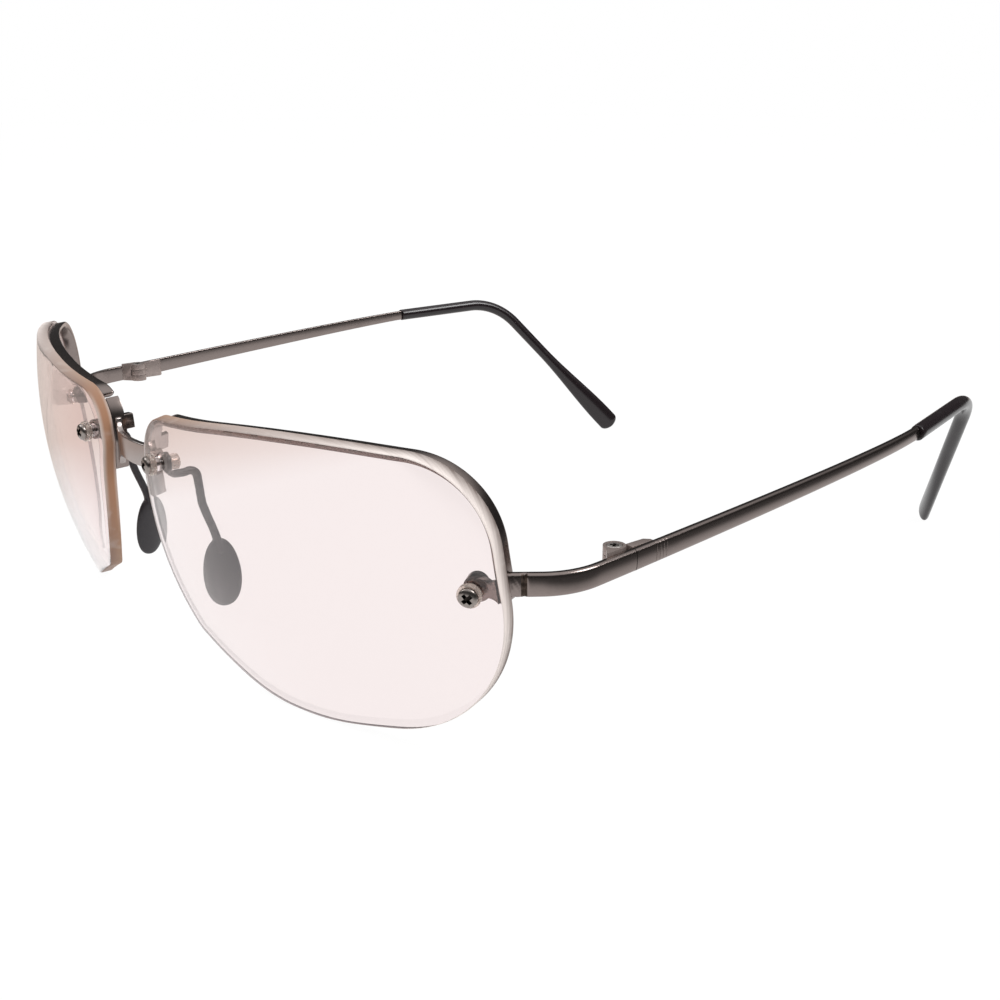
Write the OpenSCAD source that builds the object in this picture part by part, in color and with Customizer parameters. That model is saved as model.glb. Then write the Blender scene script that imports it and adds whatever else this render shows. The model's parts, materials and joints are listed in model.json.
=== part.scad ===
// Semi-rimless eyeglasses in millimetres.
// The wearer looks along -Y, the wearer's left is +X, and the glasses stand on the lens bottoms and
// the temple tips, with the origin on that surface under the middle.

/* [Lens] */
// Width of a lens
lens_w = 62.3; // [56:0.1:66]
// Height of a lens
lens_h = 41.1; // [37:0.1:45]
// Thickness of a lens
lens_t = 1.75; // [1.6:0.05:2.8]
// Radius of the front of a lens
lens_r = 79; // [72:1:110]
// Gap between the lenses at the nose
lens_gap = 14.2; // [11:0.1:20]
// Turn of a lens about the vertical, its outer edge back
lens_wrap = 15.5; // [6:0.5:18]
// Lean of a lens, its top forward
lens_tilt = 7; // [0:0.5:10]

/* [Lens holes] */
// Nasal hole, from the nasal edge
nasal_in = 4.1; // [3.8:0.1:6]
// Nasal hole, above the lens centre
nasal_up = 10.5; // [8:0.1:11]
// Temporal hole, from the temporal edge
temporal_in = 3.6; // [3.4:0.1:6]
// Temporal hole, above the lens centre
temporal_up = 3.7; // [3.4:0.1:6]

/* [Lens screws] */
// Diameter of a screw shank
shank_d = 1.2; // [1:0.1:1.4]
// Diameter of a screw head
head_d = 2.5; // [2:0.1:3]
// Height of a screw head
head_h = 0.75; // [0.6:0.05:1]
// Diameter of a bushing flange
flange_d = 3.1; // [2.8:0.1:3.6]
// Thickness of the nasal bushing flange
nasal_flange_t = 0.8; // [0.3:0.05:1]
// Thickness of the temporal bushing flange
temporal_flange_t = 0.7; // [0.3:0.05:1]
// Wall of a bushing sleeve
sleeve_wall = 0.4; // [0.3:0.05:0.5]
// Diameter of the temporal nut
nut_d = 2.8; // [2.4:0.1:3]
// Length of the temporal nut
nut_l = 2.3; // [1.6:0.1:2.6]
// Diameter of the clear nasal cap
cap_d = 2.2; // [2:0.1:2.8]
// Length of the clear nasal cap
cap_l = 1.3; // [1:0.1:2]

/* [Brow bar and tabs] */
// Height of the brow bar
bar_w = 1; // [0.9:0.1:1.6]
// Depth of the brow bar, front to back
bar_d = 1.95; // [1.2:0.05:2.2]
// How far the bar lies inside the edge of the lens
bar_inset = 0.5; // [0.2:0.1:0.7]
// Free nasal end of the bar, from the nasal edge
bar_end_in = 3.4; // [3:0.1:8]
// Free temporal end of the bar, above the lens centre
bar_end_up = 1.7; // [1:0.1:3]
// Thickness of a screw tab
tab_t = 0.8; // [0.6:0.1:1.2]
// Diameter of the eye of a tab
tab_d = 3; // [2.8:0.1:3.4]
// Width of the waist of a tab
waist_w = 1.9; // [1.4:0.1:2.4]
// Radius of the waist of a tab
waist_r = 1.5; // [1:0.1:2]

/* [Bridge] */
// Height of the bridge blade
blade_h = 3.6; // [2.4:0.1:4.4]
// Thickness of the bridge blade
blade_t = 0.95; // [0.7:0.05:1.2]
// Height of the blade's middle above the lens centre
blade_up = 10.2; // [9:0.1:11]
// Forward arch of the blade
blade_arch = 1.1; // [0:0.1:2]
// Radius where the blade flares into its legs
flare_r = 2; // [1:0.1:2.4]
// Width of a bridge leg, along the lens
leg_w = 1.1; // [0.8:0.1:1.3]
// Depth of a bridge leg, front to back
leg_d = 1.75; // [1.2:0.05:1.9]
// Lower end of a leg, above the lens centre
leg_end_up = 4.5; // [3:0.1:5]
// Gap between a leg and the brow bar's free end
leg_gap = 1; // [0.6:0.1:2]
// Depth of the block behind a leg
block_d = 1.1; // [0.6:0.1:1.6]
// Height of the block behind a leg
block_h = 2.2; // [1.6:0.1:3]

/* [Nose pads] */
// Pad centre, from the middle
pad_x = 13; // [10:0.1:14]
// Pad centre, behind the lens centres
pad_back = 5.9; // [4.5:0.1:8]
// Pad centre, below the lens centre
pad_down = 6.7; // [5:0.1:9]
// Length of a pad
pad_l = 10.2; // [8:0.1:13]
// Width of a pad
pad_w = 5.4; // [4.5:0.1:7]
// Thickness of a pad
pad_t = 1.7; // [1.2:0.1:2.4]
// Flare of a pad, its bottom outward
pad_flare = 8; // [4:1:25]
// Splay of a pad, its rear edge outward
pad_splay = 15; // [5:1:30]
// Diameter of a pad arm
arm_d = 1.2; // [1:0.05:1.4]
// How far the arm passes outside the cap's middle
arm_aside = 0.8; // [0:0.1:1.2]
// Thickness of the arm's eye
eye_t = 0.6; // [0.5:0.1:0.9]
// How far the arm's knee stands behind the cap
knee_back = 2.3; // [2:0.1:4]
// Share of the drop under the cap at which the knee stands
knee_drop = 0.75; // [0.4:0.01:1]
// How far the arm leans back below its knee
shin_back = 0.5; // [0:0.1:1]

/* [Endpiece] */
// How far the endpiece stands out from the lens
end_out = 5.9; // [5.5:0.1:8]
// Length of the endpiece, front to back
end_l = 16.2; // [14.5:0.1:18]
// Height of the endpiece's middle above the lens centre
end_up = 4; // [3.6:0.1:5]
// Angle at which the endpiece leaves the lens
end_angle = 44; // [38:1:48]
// Outer radius of the endpiece's bend
end_r = 10; // [6:0.5:11]
// Height of the endpiece at the lens
end_h = 3.1; // [2.6:0.1:3.6]
// Rise of the endpiece to the hinge
end_rise = 1.1; // [0.5:0.05:2]

/* [Hinge] */
// Diameter of a knuckle
knuckle_d = 2.9; // [2.6:0.1:3.1]
// Height of the three knuckles together
hinge_h = 3.4; // [3:0.1:3.6]
// Gap between knuckles
knuckle_gap = 0.06; // [0.04:0.01:0.1]
// Length of the front leaf
front_leaf_l = 2.8; // [2.6:0.1:3.2]
// Length of the rear leaf
rear_leaf_l = 3.8; // [3:0.1:5]
// Thickness of the rear leaf
rear_leaf_t = 1.3; // [1.2:0.1:2]
// Height of the rear leaf
rear_leaf_h = 3; // [2.8:0.1:3.4]
// Diameter of the hinge screw
pin_d = 1.1; // [0.9:0.1:1.2]
// Diameter of the hinge screw's head
pin_head_d = 2.1; // [1.7:0.1:2.2]
// Height of the hinge screw's head
pin_head_h = 0.4; // [0.3:0.05:0.5]

/* [Temple] */
// Length from the hinge axis to the tip sleeve
temple_l = 65.7; // [60:0.1:75]
// Thickness of the temple and endpiece strip
temple_t = 1.1; // [1:0.1:1.5]
// Height of the temple at the hinge
temple_h = 2.85; // [2.7:0.05:3.3]
// Height of the temple at the tip sleeve
temple_end_h = 2; // [1.8:0.05:2.4]
// Inward bow of the temple
temple_bow = 2.5; // [1:0.1:5]
// Rise of the temple from hinge to tip sleeve
temple_rise = 4.5; // [2:0.1:5]
// Number of fine engraved lines
line_count = 4; // [2:1:6]
// Spacing of the engraved lines
line_pitch = 0.75; // [0.6:0.05:1]
// Width of an engraved line
line_w = 0.2; // [0.1:0.05:0.3]
// Depth of an engraved line
line_depth = 0.12; // [0.1:0.01:0.2]
// First engraved line, behind the split
line_start = 3.2; // [2:0.1:5]

/* [Tip] */
// Length of the tip's straight part, front to back
tip_straight = 24.4; // [18:0.1:28]
// Inward run of the straight part
tip_in = 5.5; // [2:0.1:8]
// Rise of the straight part
tip_rise = 1.15; // [0:0.05:2]
// Length of the hooked part, front to back
hook_back = 21.2; // [16:0.1:26]
// Inward run of the hooked part
hook_in = 18.6; // [8:0.1:20]
// Radius of the tip's bend
bend_r = 13; // [8:0.5:14]
// Diameter of the sleeve from its mouth to the bend
sleeve_d = 2.45; // [2.3:0.05:3]
// Width of the flat end of the tip
tip_w = 4.7; // [3.4:0.1:6]
// Thickness of the flat end of the tip
tip_t = 2.1; // [1.9:0.1:2.6]
// Length of the tip's round end
tip_round = 1.6; // [1:0.1:3]
// Share of the hooked part where the tip starts to widen
widen_from = 0.3; // [0.1:0.05:0.5]
// Share of the hooked part over which it widens
widen_over = 0.65; // [0.3:0.05:0.7]
// Diameter of the core wire
core_d = 1.1; // [1:0.1:1.2]
// Share of the hooked part that the core wire fills
core_share = 0.6; // [0.2:0.2:0.6]

/* [Fits] */
// Radial running clearance of the hinge
run_fit = 0.03; // [0.02:0.01:0.05]
// Radial clearance of bushings, bores and the core wire
bore_fit = 0.03; // [0.02:0.01:0.05]
// Seat clearance behind the lens
seat_fit = 0.03; // [0.02:0.01:0.05]
// Clearance round the hinge knuckles
hinge_fit = 0.12; // [0.1:0.01:0.2]
// Gap between endpiece and temple
split_gap = 0.1; // [0.06:0.02:0.2]

/* [Hidden] */

// Corners of the lens outline from the nasal top corner over the top: shares of the half width
// and half height, and the radius that rounds the corner as a share of the half height.
lens_corners = [[-0.962, 0.812, 0.344], [0.064, 1.026, 6.927], [0.934, 0.938, 0.631],
    [1.078, -0.762, 0.957], [0.091, -1.005, 2.245], [-0.254, -0.988, 1.167], [-0.712, -0.666, 0.188],
    [-0.909, -0.268, 1.68], [-1.001, 0.426, 0.223]];
// Share of a side of the outline that the roundings at its ends may fill.
side_fill = 0.96;
arc_step = 4;
bend_steps = 7;
hook_steps = 8;
wire_sides = 10;
round_fn = 48;
ball_fn = 180;
eps = 0.01;
// The nose pad's arm: its clearance under the cap, the radii of its turns, its straight run into
// the pad, and the share of the pad that it enters.
arm_clear = 0.15;
arm_bends = [0.8, 1.5, 1.1];
arm_run = 3;
arm_join = 0.3;
// How a pad's thickness and width fall away toward its ends, and the steps between its rings.
pad_fall = [0.5, 0.7];
pad_step = 14;

function unit(v) = v / norm(v);
function mix(a, b, f) = a + (b - a) * f;
function sag(d) = lens_r - sqrt(lens_r * lens_r - d * d);

// The lens leans and turns about its centre: its own axes run along its width, up and forward.
lens_across = [cos(lens_wrap), sin(lens_wrap), 0];
lens_upward = [sin(lens_tilt) * sin(lens_wrap), -sin(lens_tilt) * cos(lens_wrap), cos(lens_tilt)];
lens_forward = [cos(lens_tilt) * sin(lens_wrap), -cos(lens_tilt) * cos(lens_wrap), -sin(lens_tilt)];

// From the lens centre to the lens's front at place p, or to a depth behind it.
function lens_vector(p, depth) = let (
    front_z = sqrt(lens_r * lens_r - p.x * p.x - p.y * p.y),
    share = (lens_r - depth) / lens_r
) lens_across * p.x * share + lens_upward * p.y * share + lens_forward * (front_z * share - lens_r);

nasal_hole = [nasal_in - lens_w / 2, nasal_up];
temporal_hole = [lens_w / 2 - temporal_in, temporal_up];
hole_d = shank_d + 2 * (bore_fit + sleeve_wall + bore_fit);

// Depths behind the front of the lens, along its normal.
tab_back = lens_t + tab_t;
eye_front = tab_back + seat_fit;
eye_back = eye_front + eye_t;
cap_front = eye_back + seat_fit;

// Places of the endpiece and hinge, from the lens centre.
edge = lens_vector([lens_w / 2, end_up], lens_t);
split_back = edge.y + end_l;
hinge_back = split_back - knuckle_d / 2 + hinge_fit;

// Heights from the surface, which the lens bottoms touch.
lens_z = lens_h / 2 * cos(lens_tilt) - sag(lens_h / 2) * sin(lens_tilt);
end_z = lens_z + edge.z;
hinge_z = end_z + end_rise;
temple_end_z = hinge_z + temple_rise;
bridge_z = lens_z + blade_up;

// The flat end of the tip faces the head behind the ear, and its round end reaches this far
// past the last point of the middle line.
flat_face = unit([0.78, 0.63, -0.03]);
hook_way = unit([-hook_in, hook_back, tip_w / 2 - temple_end_z - tip_rise]);
flat_across = unit(cross(hook_way, flat_face));
tip_reach = [for (k = [0:2])
    norm([2 * tip_round * hook_way[k], tip_w * flat_across[k], tip_t * flat_face[k]]) / 2];

// The lens centre puts the middle of the whole depth on y = 0.
front_reach = -lens_vector(nasal_hole, -nasal_flange_t - head_h).y;
back_reach = hinge_back + temple_l + tip_straight + hook_back + tip_reach.y;
lens_x = lens_gap / 2 + lens_w / 2 * cos(lens_wrap) + sag(lens_w / 2) * sin(lens_wrap);
lens_y = (front_reach - back_reach) / 2;
lens_centre = [lens_x, lens_y, lens_z];

outer_x = lens_x + edge.x + end_out;
inner_x = outer_x - temple_t;
hinge_x = inner_x - hinge_fit - knuckle_d / 2;
hinge_y = lens_y + hinge_back;
split_y = lens_y + split_back;
temple_end_y = hinge_y + temple_l;

// Knuckle levels, from the bottom of the hinge.
knuckle_h = (hinge_h - 2 * knuckle_gap) / 3;
hinge_low = hinge_z - hinge_h / 2;
middle_low = hinge_low + knuckle_h + knuckle_gap;
top_low = middle_low + knuckle_h + knuckle_gap;
hinge_top = hinge_low + hinge_h;

// One corner of the lens outline, rounded and moved in by inset.
function corner(i) = let (c = lens_corners[(i + len(lens_corners)) % len(lens_corners)])
    [c.x * lens_w / 2, c.y * lens_h / 2];
// A side of the outline has room for the roundings at both its ends, or both give way alike.
function wanted_r(i) = lens_corners[(i + len(lens_corners)) % len(lens_corners)][2] * lens_h / 2;
function corner_turn(i) = acos(unit(corner(i) - corner(i - 1)) * unit(corner(i + 1) - corner(i)));
function corner_use(i) = wanted_r(i) * tan(corner_turn(i) / 2);
function side_room(i) = side_fill * norm(corner(i + 1) - corner(i))
    / (corner_use(i) + corner_use(i + 1));
function corner_arc(i, inset) = let (
    radius = wanted_r(i) * min(1, side_room(i - 1), side_room(i)),
    before = unit(corner(i) - corner(i - 1)),
    after = unit(corner(i + 1) - corner(i)),
    out_before = [-before.y, before.x],
    out_after = [-after.y, after.x],
    centre = corner(i) - (out_before + out_after) * radius / (1 + out_before * out_after),
    start = atan2(out_before.y, out_before.x),
    turn = acos(out_before * out_after),
    steps = max(3, ceil(turn / arc_step))
) [for (k = [0:steps]) let (a = start - turn * k / steps)
    centre + (radius - inset) * [cos(a), sin(a)]];
function outline(inset) = [for (i = [0:len(lens_corners) - 1]) each corner_arc(i, inset)];

// Points of a path's corner rounded to a radius, in two or three dimensions.
function bend(a, b, c, radius, steps) = let (
    back = unit(a - b),
    on = unit(c - b),
    half = acos(back * on) / 2,
    middle = b + unit(back + on) * radius / sin(half),
    from = unit(b + back * radius / tan(half) - middle),
    to = unit(b + on * radius / tan(half) - middle),
    sweep = 180 - 2 * half
) [for (k = [0:steps])
    middle + radius * (from * sin(sweep * (1 - k / steps)) + to * sin(sweep * k / steps)) / sin(sweep)];
function bezier(p, steps) = [for (k = [0:steps]) let (f = k / steps, g = 1 - f)
    g * g * g * p[0] + 3 * g * g * f * p[1] + 3 * g * f * f * p[2] + f * f * f * p[3]];
function heading(path, i) = unit(path[min(i + 1, len(path) - 1)] - path[max(i - 1, 0)]);

// A flat strip's outline: its outer path, and the same path moved to its left by the thickness.
function ribbon(path, thickness) = concat(path, [for (i = [len(path) - 1:-1:0])
    let (d = heading(path, i)) path[i] + thickness * [-d.y, d.x]]);

module side(s) {
    if (s > 0) children();
    else mirror([1, 0, 0]) children();
}

module lens_frame() {
    translate(lens_centre)
        rotate([90 + lens_tilt, 0, lens_wrap])
            children();
}

// On the lens's normal through a hole, z forward, at a depth behind the front.
module at_hole(p, depth) {
    translate([0, 0, -lens_r])
        rotate([-asin(p.y / lens_r), asin(p.x / sqrt(lens_r * lens_r - p.y * p.y)), 0])
            translate([0, 0, lens_r - depth])
                children();
}

// A flat shape carried onto a layer concentric with the front of the lens.
module layer(front, back) {
    reach = sag(lens_w * 0.56) + back;
    intersection() {
        translate([0, 0, -reach])
            linear_extrude(reach + 1)
                children();
        translate([0, 0, -lens_r])
            difference() {
                sphere(r = lens_r - front, $fn = ball_fn);
                sphere(r = lens_r - back, $fn = ball_fn);
            }
    }
}

module rim(from, width) {
    difference() {
        polygon(outline(from));
        polygon(outline(from + width));
    }
}

// The space inside the lens outline, all the way through.
module lens_prism(inset = 0) {
    lens_frame()
        translate([0, 0, -2 * lens_t - 3 * bar_d - sag(lens_w / 2)])
            linear_extrude(lens_w / 2)
                polygon(outline(inset));
}

module cross_recess(width, depth) {
    slot = width * 0.22;
    for (a = [0, 90])
        rotate([0, 0, a])
            translate([-width / 2, -slot / 2, -depth])
                cube([width, slot, depth + 1]);
}

module lens() {
    color([0.96, 0.91, 0.91, 0.45])
        lens_frame()
            difference() {
                layer(0, lens_t) polygon(outline(0));
                for (p = [nasal_hole, temporal_hole])
                    at_hole(p, 2 * lens_t)
                        cylinder(d = hole_d, h = 3 * lens_t, $fn = round_fn);
            }
}

module brow_bar() {
    color("dimgray")
        lens_frame()
            layer(lens_t, lens_t + bar_d)
                intersection() {
                    rim(bar_inset, bar_w);
                    union() {
                        translate([bar_end_in - lens_w / 2, nasal_up])
                            square([lens_w, lens_h]);
                        translate([0, bar_end_up])
                            square([lens_w, lens_h]);
                    }
                }
}

// An eye with a waisted neck that runs along +x and flares where it ends.
module tab_shape(reach) {
    flare = waist_w / 2 + waist_r * 0.65;
    circle(d = tab_d, $fn = round_fn);
    difference() {
        translate([0, -flare])
            square([reach, 2 * flare]);
        for (m = [-1, 1])
            translate([tab_d * 0.3, m * (waist_w / 2 + waist_r)])
                circle(r = waist_r, $fn = round_fn);
        for (m = [-1, 1])
            translate([-tab_d / 2, m * (waist_w / 2 + waist_r) - waist_r])
                square([tab_d * 0.8, 2 * waist_r]);
    }
}

module screw_bore(p, diameter) {
    at_hole(p, 2 * tab_back)
        cylinder(d = diameter + 2 * bore_fit, h = 2 * tab_back, $fn = round_fn);
}

module brow_tab() {
    color("dimgray")
        lens_frame()
            difference() {
                layer(lens_t, tab_back)
                    intersection() {
                        translate(temporal_hole)
                            tab_shape(temporal_in);
                        polygon(outline(bar_inset + bar_w));
                    }
                screw_bore(temporal_hole, shank_d);
            }
}

module nasal_tab() {
    color("dimgray")
        lens_frame()
            difference() {
                layer(lens_t, tab_back)
                    intersection() {
                        translate(nasal_hole)
                            rotate([0, 0, 180])
                                tab_shape(nasal_in);
                        polygon(outline(leg_w));
                    }
                screw_bore(nasal_hole, shank_d);
            }
}

module lens_screw(p, flange_t, length) {
    rim_h = head_h * 0.4;
    dome_h = head_h - rim_h;
    dome_r = (head_d * head_d / 4 + dome_h * dome_h) / (2 * dome_h);
    color("silver")
        lens_frame()
            at_hole(p, 0)
                difference() {
                    union() {
                        intersection() {
                            translate([0, 0, flange_t])
                                cylinder(d = head_d, h = head_h, $fn = round_fn);
                            translate([0, 0, flange_t + head_h - dome_r])
                                sphere(r = dome_r, $fn = round_fn);
                        }
                        translate([0, 0, -length])
                            cylinder(d = shank_d, h = length + flange_t + eps, $fn = round_fn);
                    }
                    translate([0, 0, flange_t + head_h])
                        cross_recess(head_d * 0.6, head_h * 0.5);
                }
}

module nasal_screw() {
    lens_screw(nasal_hole, nasal_flange_t, cap_front + cap_l * 0.75);
}

module temporal_screw() {
    lens_screw(temporal_hole, temporal_flange_t, tab_back + seat_fit + nut_l * 0.75);
}

module bushing(p, flange_t) {
    color([0.95, 0.95, 0.95, 0.5])
        lens_frame()
            at_hole(p, 0)
                difference() {
                    union() {
                        cylinder(d = flange_d, h = flange_t, $fn = round_fn);
                        translate([0, 0, seat_fit - lens_t])
                            cylinder(d = hole_d - 2 * bore_fit, h = lens_t, $fn = round_fn);
                    }
                    translate([0, 0, -lens_t])
                        cylinder(d = shank_d + 2 * bore_fit, h = 2 * lens_t, $fn = round_fn);
                }
}

// A round nut with a domed back, from a depth behind the lens's front.
module nut(p, depth, width, length) {
    dome_r = width * 0.75;
    at_hole(p, depth)
        difference() {
            intersection() {
                translate([0, 0, -length])
                    cylinder(d = width, h = length, $fn = round_fn);
                translate([0, 0, dome_r - length])
                    sphere(r = dome_r, $fn = round_fn);
            }
            translate([0, 0, -length * 0.8])
                cylinder(d = shank_d + 2 * bore_fit, h = length, $fn = round_fn);
        }
}

module nasal_cap() {
    color([0.95, 0.95, 0.95, 0.5])
        lens_frame()
            nut(nasal_hole, cap_front, cap_d, cap_l);
}

module temporal_nut() {
    color("dimgray")
        lens_frame()
            nut(temporal_hole, tab_back + seat_fit, nut_d, nut_l);
}

// The leg follows the nasal edge of the lens, and a block stands behind its middle.
module bridge_leg() {
    leg_top = bar_end_in - leg_gap;
    color("dimgray")
        lens_frame()
            union() {
                layer(lens_t, lens_t + leg_d)
                    intersection() {
                        rim(0, leg_w);
                        translate([-lens_w, leg_end_up])
                            square([lens_w / 2 + leg_top, lens_h]);
                    }
                layer(lens_t + leg_d - eps, lens_t + leg_d + block_d)
                    intersection() {
                        rim(0, leg_w);
                        translate([-lens_w, nasal_up])
                            square([lens_w / 2 + leg_top, block_h]);
                    }
            }
}

module bridge() {
    half = lens_gap / 2;
    leg_middle = lens_vector([-lens_w / 2, nasal_up], lens_t + leg_d / 2).y + lens_y;
    arch = [for (x = [-half:half / 8:half]) [x, leg_middle - blade_arch * (1 - x * x / half / half)]];
    color("dimgray")
        difference() {
            intersection() {
                translate([0, -blade_t / 2, bridge_z - blade_h])
                    linear_extrude(2 * blade_h)
                        polygon(ribbon(arch, blade_t));
                translate([0, lens_y + lens_w, bridge_z])
                    rotate([90, 0, 0])
                        linear_extrude(2 * lens_w)
                            blade_front(half);
            }
            for (s = [-1, 1])
                side(s) lens_prism();
        }
}

// The blade seen from the front: its top and bottom sweep out into the legs.
module blade_front(half) {
    root = half - blade_t;
    difference() {
        translate([-half, -blade_h / 2 - flare_r])
            square([2 * half, blade_h + 2 * flare_r]);
        for (m = [-1, 1]) {
            for (n = [-1, 1])
                translate([n * (root - flare_r), m * (blade_h / 2 + flare_r)])
                    circle(r = flare_r, $fn = round_fn);
            translate([flare_r - root, m * (blade_h / 2 + flare_r) - flare_r])
                square([2 * (root - flare_r), 2 * flare_r]);
        }
    }
}

// A tube through rings of points, closed at both ends.
module tube(rings) {
    sides = len(rings[0]);
    last = len(rings) - 1;
    points = [for (ring = rings) each ring];
    skin = [for (i = [0:last - 1], k = [0:sides - 1])
        let (a = i * sides + k, b = i * sides + (k + 1) % sides)
            each [[a, b, a + sides], [b, b + sides, a + sides]]];
    caps = [for (k = [1:sides - 2])
        each [[0, k + 1, k], [last * sides, last * sides + k, last * sides + k + 1]]];
    polyhedron(points, concat(skin, caps));
}

// A ring of points across a path at c, heading d, with radii a sideways and b the other way.
function ring(c, d, guide, a, b, sides) = let (
    across = unit(cross(d, guide)),
    other = cross(across, d)
) [for (k = [0:sides - 1]) c + across * a * cos(360 * k / sides) + other * b * sin(360 * k / sides)];

// The arm leaves its eye downward, passes under the cap, turns down at a knee and ends in the pad.
module nose_pad() {
    grip = lens_centre + lens_vector(nasal_hole, eye_front + eye_t / 2);
    pad = [pad_x, lens_y + pad_back, lens_z - pad_down];
    down = [sin(pad_flare), 0, -cos(pad_flare)];
    splay = [sin(pad_splay), cos(pad_splay), 0];
    back = unit(splay - down * (splay * down));
    under = cap_d / 2 + arm_d / 2 + arm_clear;
    drop = sqrt(under * under - arm_aside * arm_aside);
    leave = grip - [0, 0, tab_d * 0.4];
    below = grip + [arm_aside * 0.6, eye_t / 2, -drop];
    clear = grip + [arm_aside, eye_t + cap_l, -drop];
    knee = grip + [arm_aside, cap_l + knee_back, -drop * knee_drop];
    shin = grip + [arm_aside, cap_l + knee_back + shin_back, -pad_down];
    join = pad - down * pad_l * arm_join;
    arm = concat([leave], bend(leave, below, clear, arm_bends[0], 4),
        bend(below, clear, knee, arm_bends[1], 2), bend(clear, knee, shin, arm_bends[2], 6),
        bezier([shin, mix(shin, join, 0.4), join - down * arm_run, join], 5));
    color([0.12, 0.12, 0.12]) {
        difference() {
            lens_frame()
                at_hole(nasal_hole, eye_back)
                    cylinder(d = tab_d, h = eye_t, $fn = round_fn);
            lens_frame()
                screw_bore(nasal_hole, shank_d);
        }
        tube([for (i = [0:len(arm) - 1])
            ring(arm[i], heading(arm, i), [1, 0, 0], mix(eye_t, arm_d, min(1, i / 5)) / 2, arm_d / 2, 10)]);
        tube([for (v = [-6 * pad_step:pad_step:6 * pad_step])
            ring(pad + down * pad_l / 2 * sin(v), down, back, pad_t / 2 * pow(cos(v), pad_fall[0]),
                pad_w / 2 * pow(cos(v), pad_fall[1]), 20)]);
    }
}

// A strip between two side profiles: plan is its outline from above, and its heights run from
// the first end to the last.
module strip(plan, from_y, to_y, from_z, to_z, from_h, to_h) {
    intersection() {
        translate([0, 0, from_z - 2 * from_h])
            linear_extrude(to_z - from_z + 4 * from_h)
                polygon(plan);
        translate([hinge_x / 2, 0, 0])
            rotate([90, 0, 90])
                linear_extrude(hinge_x)
                    polygon([[from_y, from_z - from_h / 2], [to_y, to_z - to_h / 2],
                        [to_y, to_z + to_h / 2], [from_y, from_z + from_h / 2]]);
    }
}

// The strip starts on the brow bar, just behind the edge of the lens.
module endpiece() {
    way = [sin(end_angle), cos(end_angle)];
    start = [lens_x + edge.x, lens_y + edge.y];
    turn = start + way * end_out / sin(end_angle);
    stop = [outer_x, split_y];
    path = concat([start - way * temple_t], bend(start, turn, stop, end_r, 8), [stop]);
    color("dimgray")
        difference() {
            strip(ribbon(path, temple_t), start.y - temple_t, split_y, end_z, hinge_z, end_h, temple_h);
            lens_prism(bar_inset);
            difference() {
                lens_prism();
                lens_frame()
                    translate([0, 0, -lens_r])
                        sphere(r = lens_r - lens_t, $fn = ball_fn);
            }
        }
}

module knuckle(low, height) {
    translate([hinge_x, hinge_y, low])
        cylinder(d = knuckle_d, h = height, $fn = round_fn);
}

module hinge_front() {
    color("dimgray")
        difference() {
            union() {
                knuckle(hinge_low, knuckle_h);
                knuckle(top_low, knuckle_h);
                translate([hinge_x, hinge_y, hinge_low])
                    linear_extrude(hinge_h)
                        polygon([[0, 0], [0, -knuckle_d / 2], [inner_x - hinge_x, -front_leaf_l],
                            [inner_x - hinge_x, 0]]);
            }
            translate([hinge_x, hinge_y, middle_low - knuckle_gap])
                cylinder(r = knuckle_d / 2 + hinge_fit, h = knuckle_h + 2 * knuckle_gap, $fn = round_fn);
            translate([hinge_x, hinge_y, hinge_low - eps])
                cylinder(d = pin_d + 2 * bore_fit, h = hinge_h + 2 * eps, $fn = round_fn);
            translate([hinge_x, hinge_y, hinge_top - pin_head_h])
                cylinder(d = pin_head_d + 2 * bore_fit, h = pin_head_h + eps, $fn = round_fn);
        }
}

module hinge_screw() {
    color("silver")
        translate([hinge_x, hinge_y, hinge_top])
            difference() {
                union() {
                    translate([0, 0, -pin_head_h])
                        cylinder(d = pin_head_d, h = pin_head_h, $fn = round_fn);
                    translate([0, 0, -hinge_h])
                        cylinder(d = pin_d, h = hinge_h - eps, $fn = round_fn);
                }
                cross_recess(pin_head_d * 0.7, pin_head_h * 0.6);
            }
}

module hinge_rear() {
    leaf_y = hinge_y + knuckle_d / 2 + hinge_fit;
    leaf_x = inner_x - rear_leaf_t;
    neck_x = hinge_x - knuckle_d * 0.3;
    chamfer = rear_leaf_t * 0.5;
    color("dimgray")
        difference() {
            union() {
                knuckle(middle_low, knuckle_h);
                translate([neck_x, hinge_y, middle_low])
                    cube([knuckle_d * 0.6, knuckle_d / 2 + 2 * hinge_fit, knuckle_h]);
                translate([leaf_x, leaf_y, hinge_z - rear_leaf_h / 2])
                    linear_extrude(rear_leaf_h)
                        polygon([[0, 0], [rear_leaf_t, 0], [rear_leaf_t, rear_leaf_l],
                            [chamfer, rear_leaf_l], [0, rear_leaf_l - chamfer]]);
            }
            temple_strip();
            translate([hinge_x, hinge_y, middle_low - eps])
                cylinder(d = pin_d + 2 * run_fit, h = knuckle_h + 2 * eps, $fn = round_fn);
        }
}

module temple_strip() {
    front_y = split_y + split_gap;
    start = [outer_x, front_y];
    stop = [outer_x - temple_bow, temple_end_y];
    pull = [outer_x, mix(front_y, temple_end_y, 0.79)];
    path = bezier([start, mix(start, pull, 2 / 3), mix(stop, pull, 2 / 3), stop], 16);
    strip(ribbon(path, temple_t), front_y, temple_end_y, hinge_z, temple_end_z, temple_h,
        temple_end_h);
}

module temple() {
    first = split_y + split_gap + line_start;
    color("dimgray")
        difference() {
            temple_strip();
            for (i = [0:line_count - 1])
                translate([outer_x - line_depth, first + i * line_pitch, hinge_z - temple_h])
                    cube([temple_t, line_w, 2 * temple_h]);
        }
}

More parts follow.
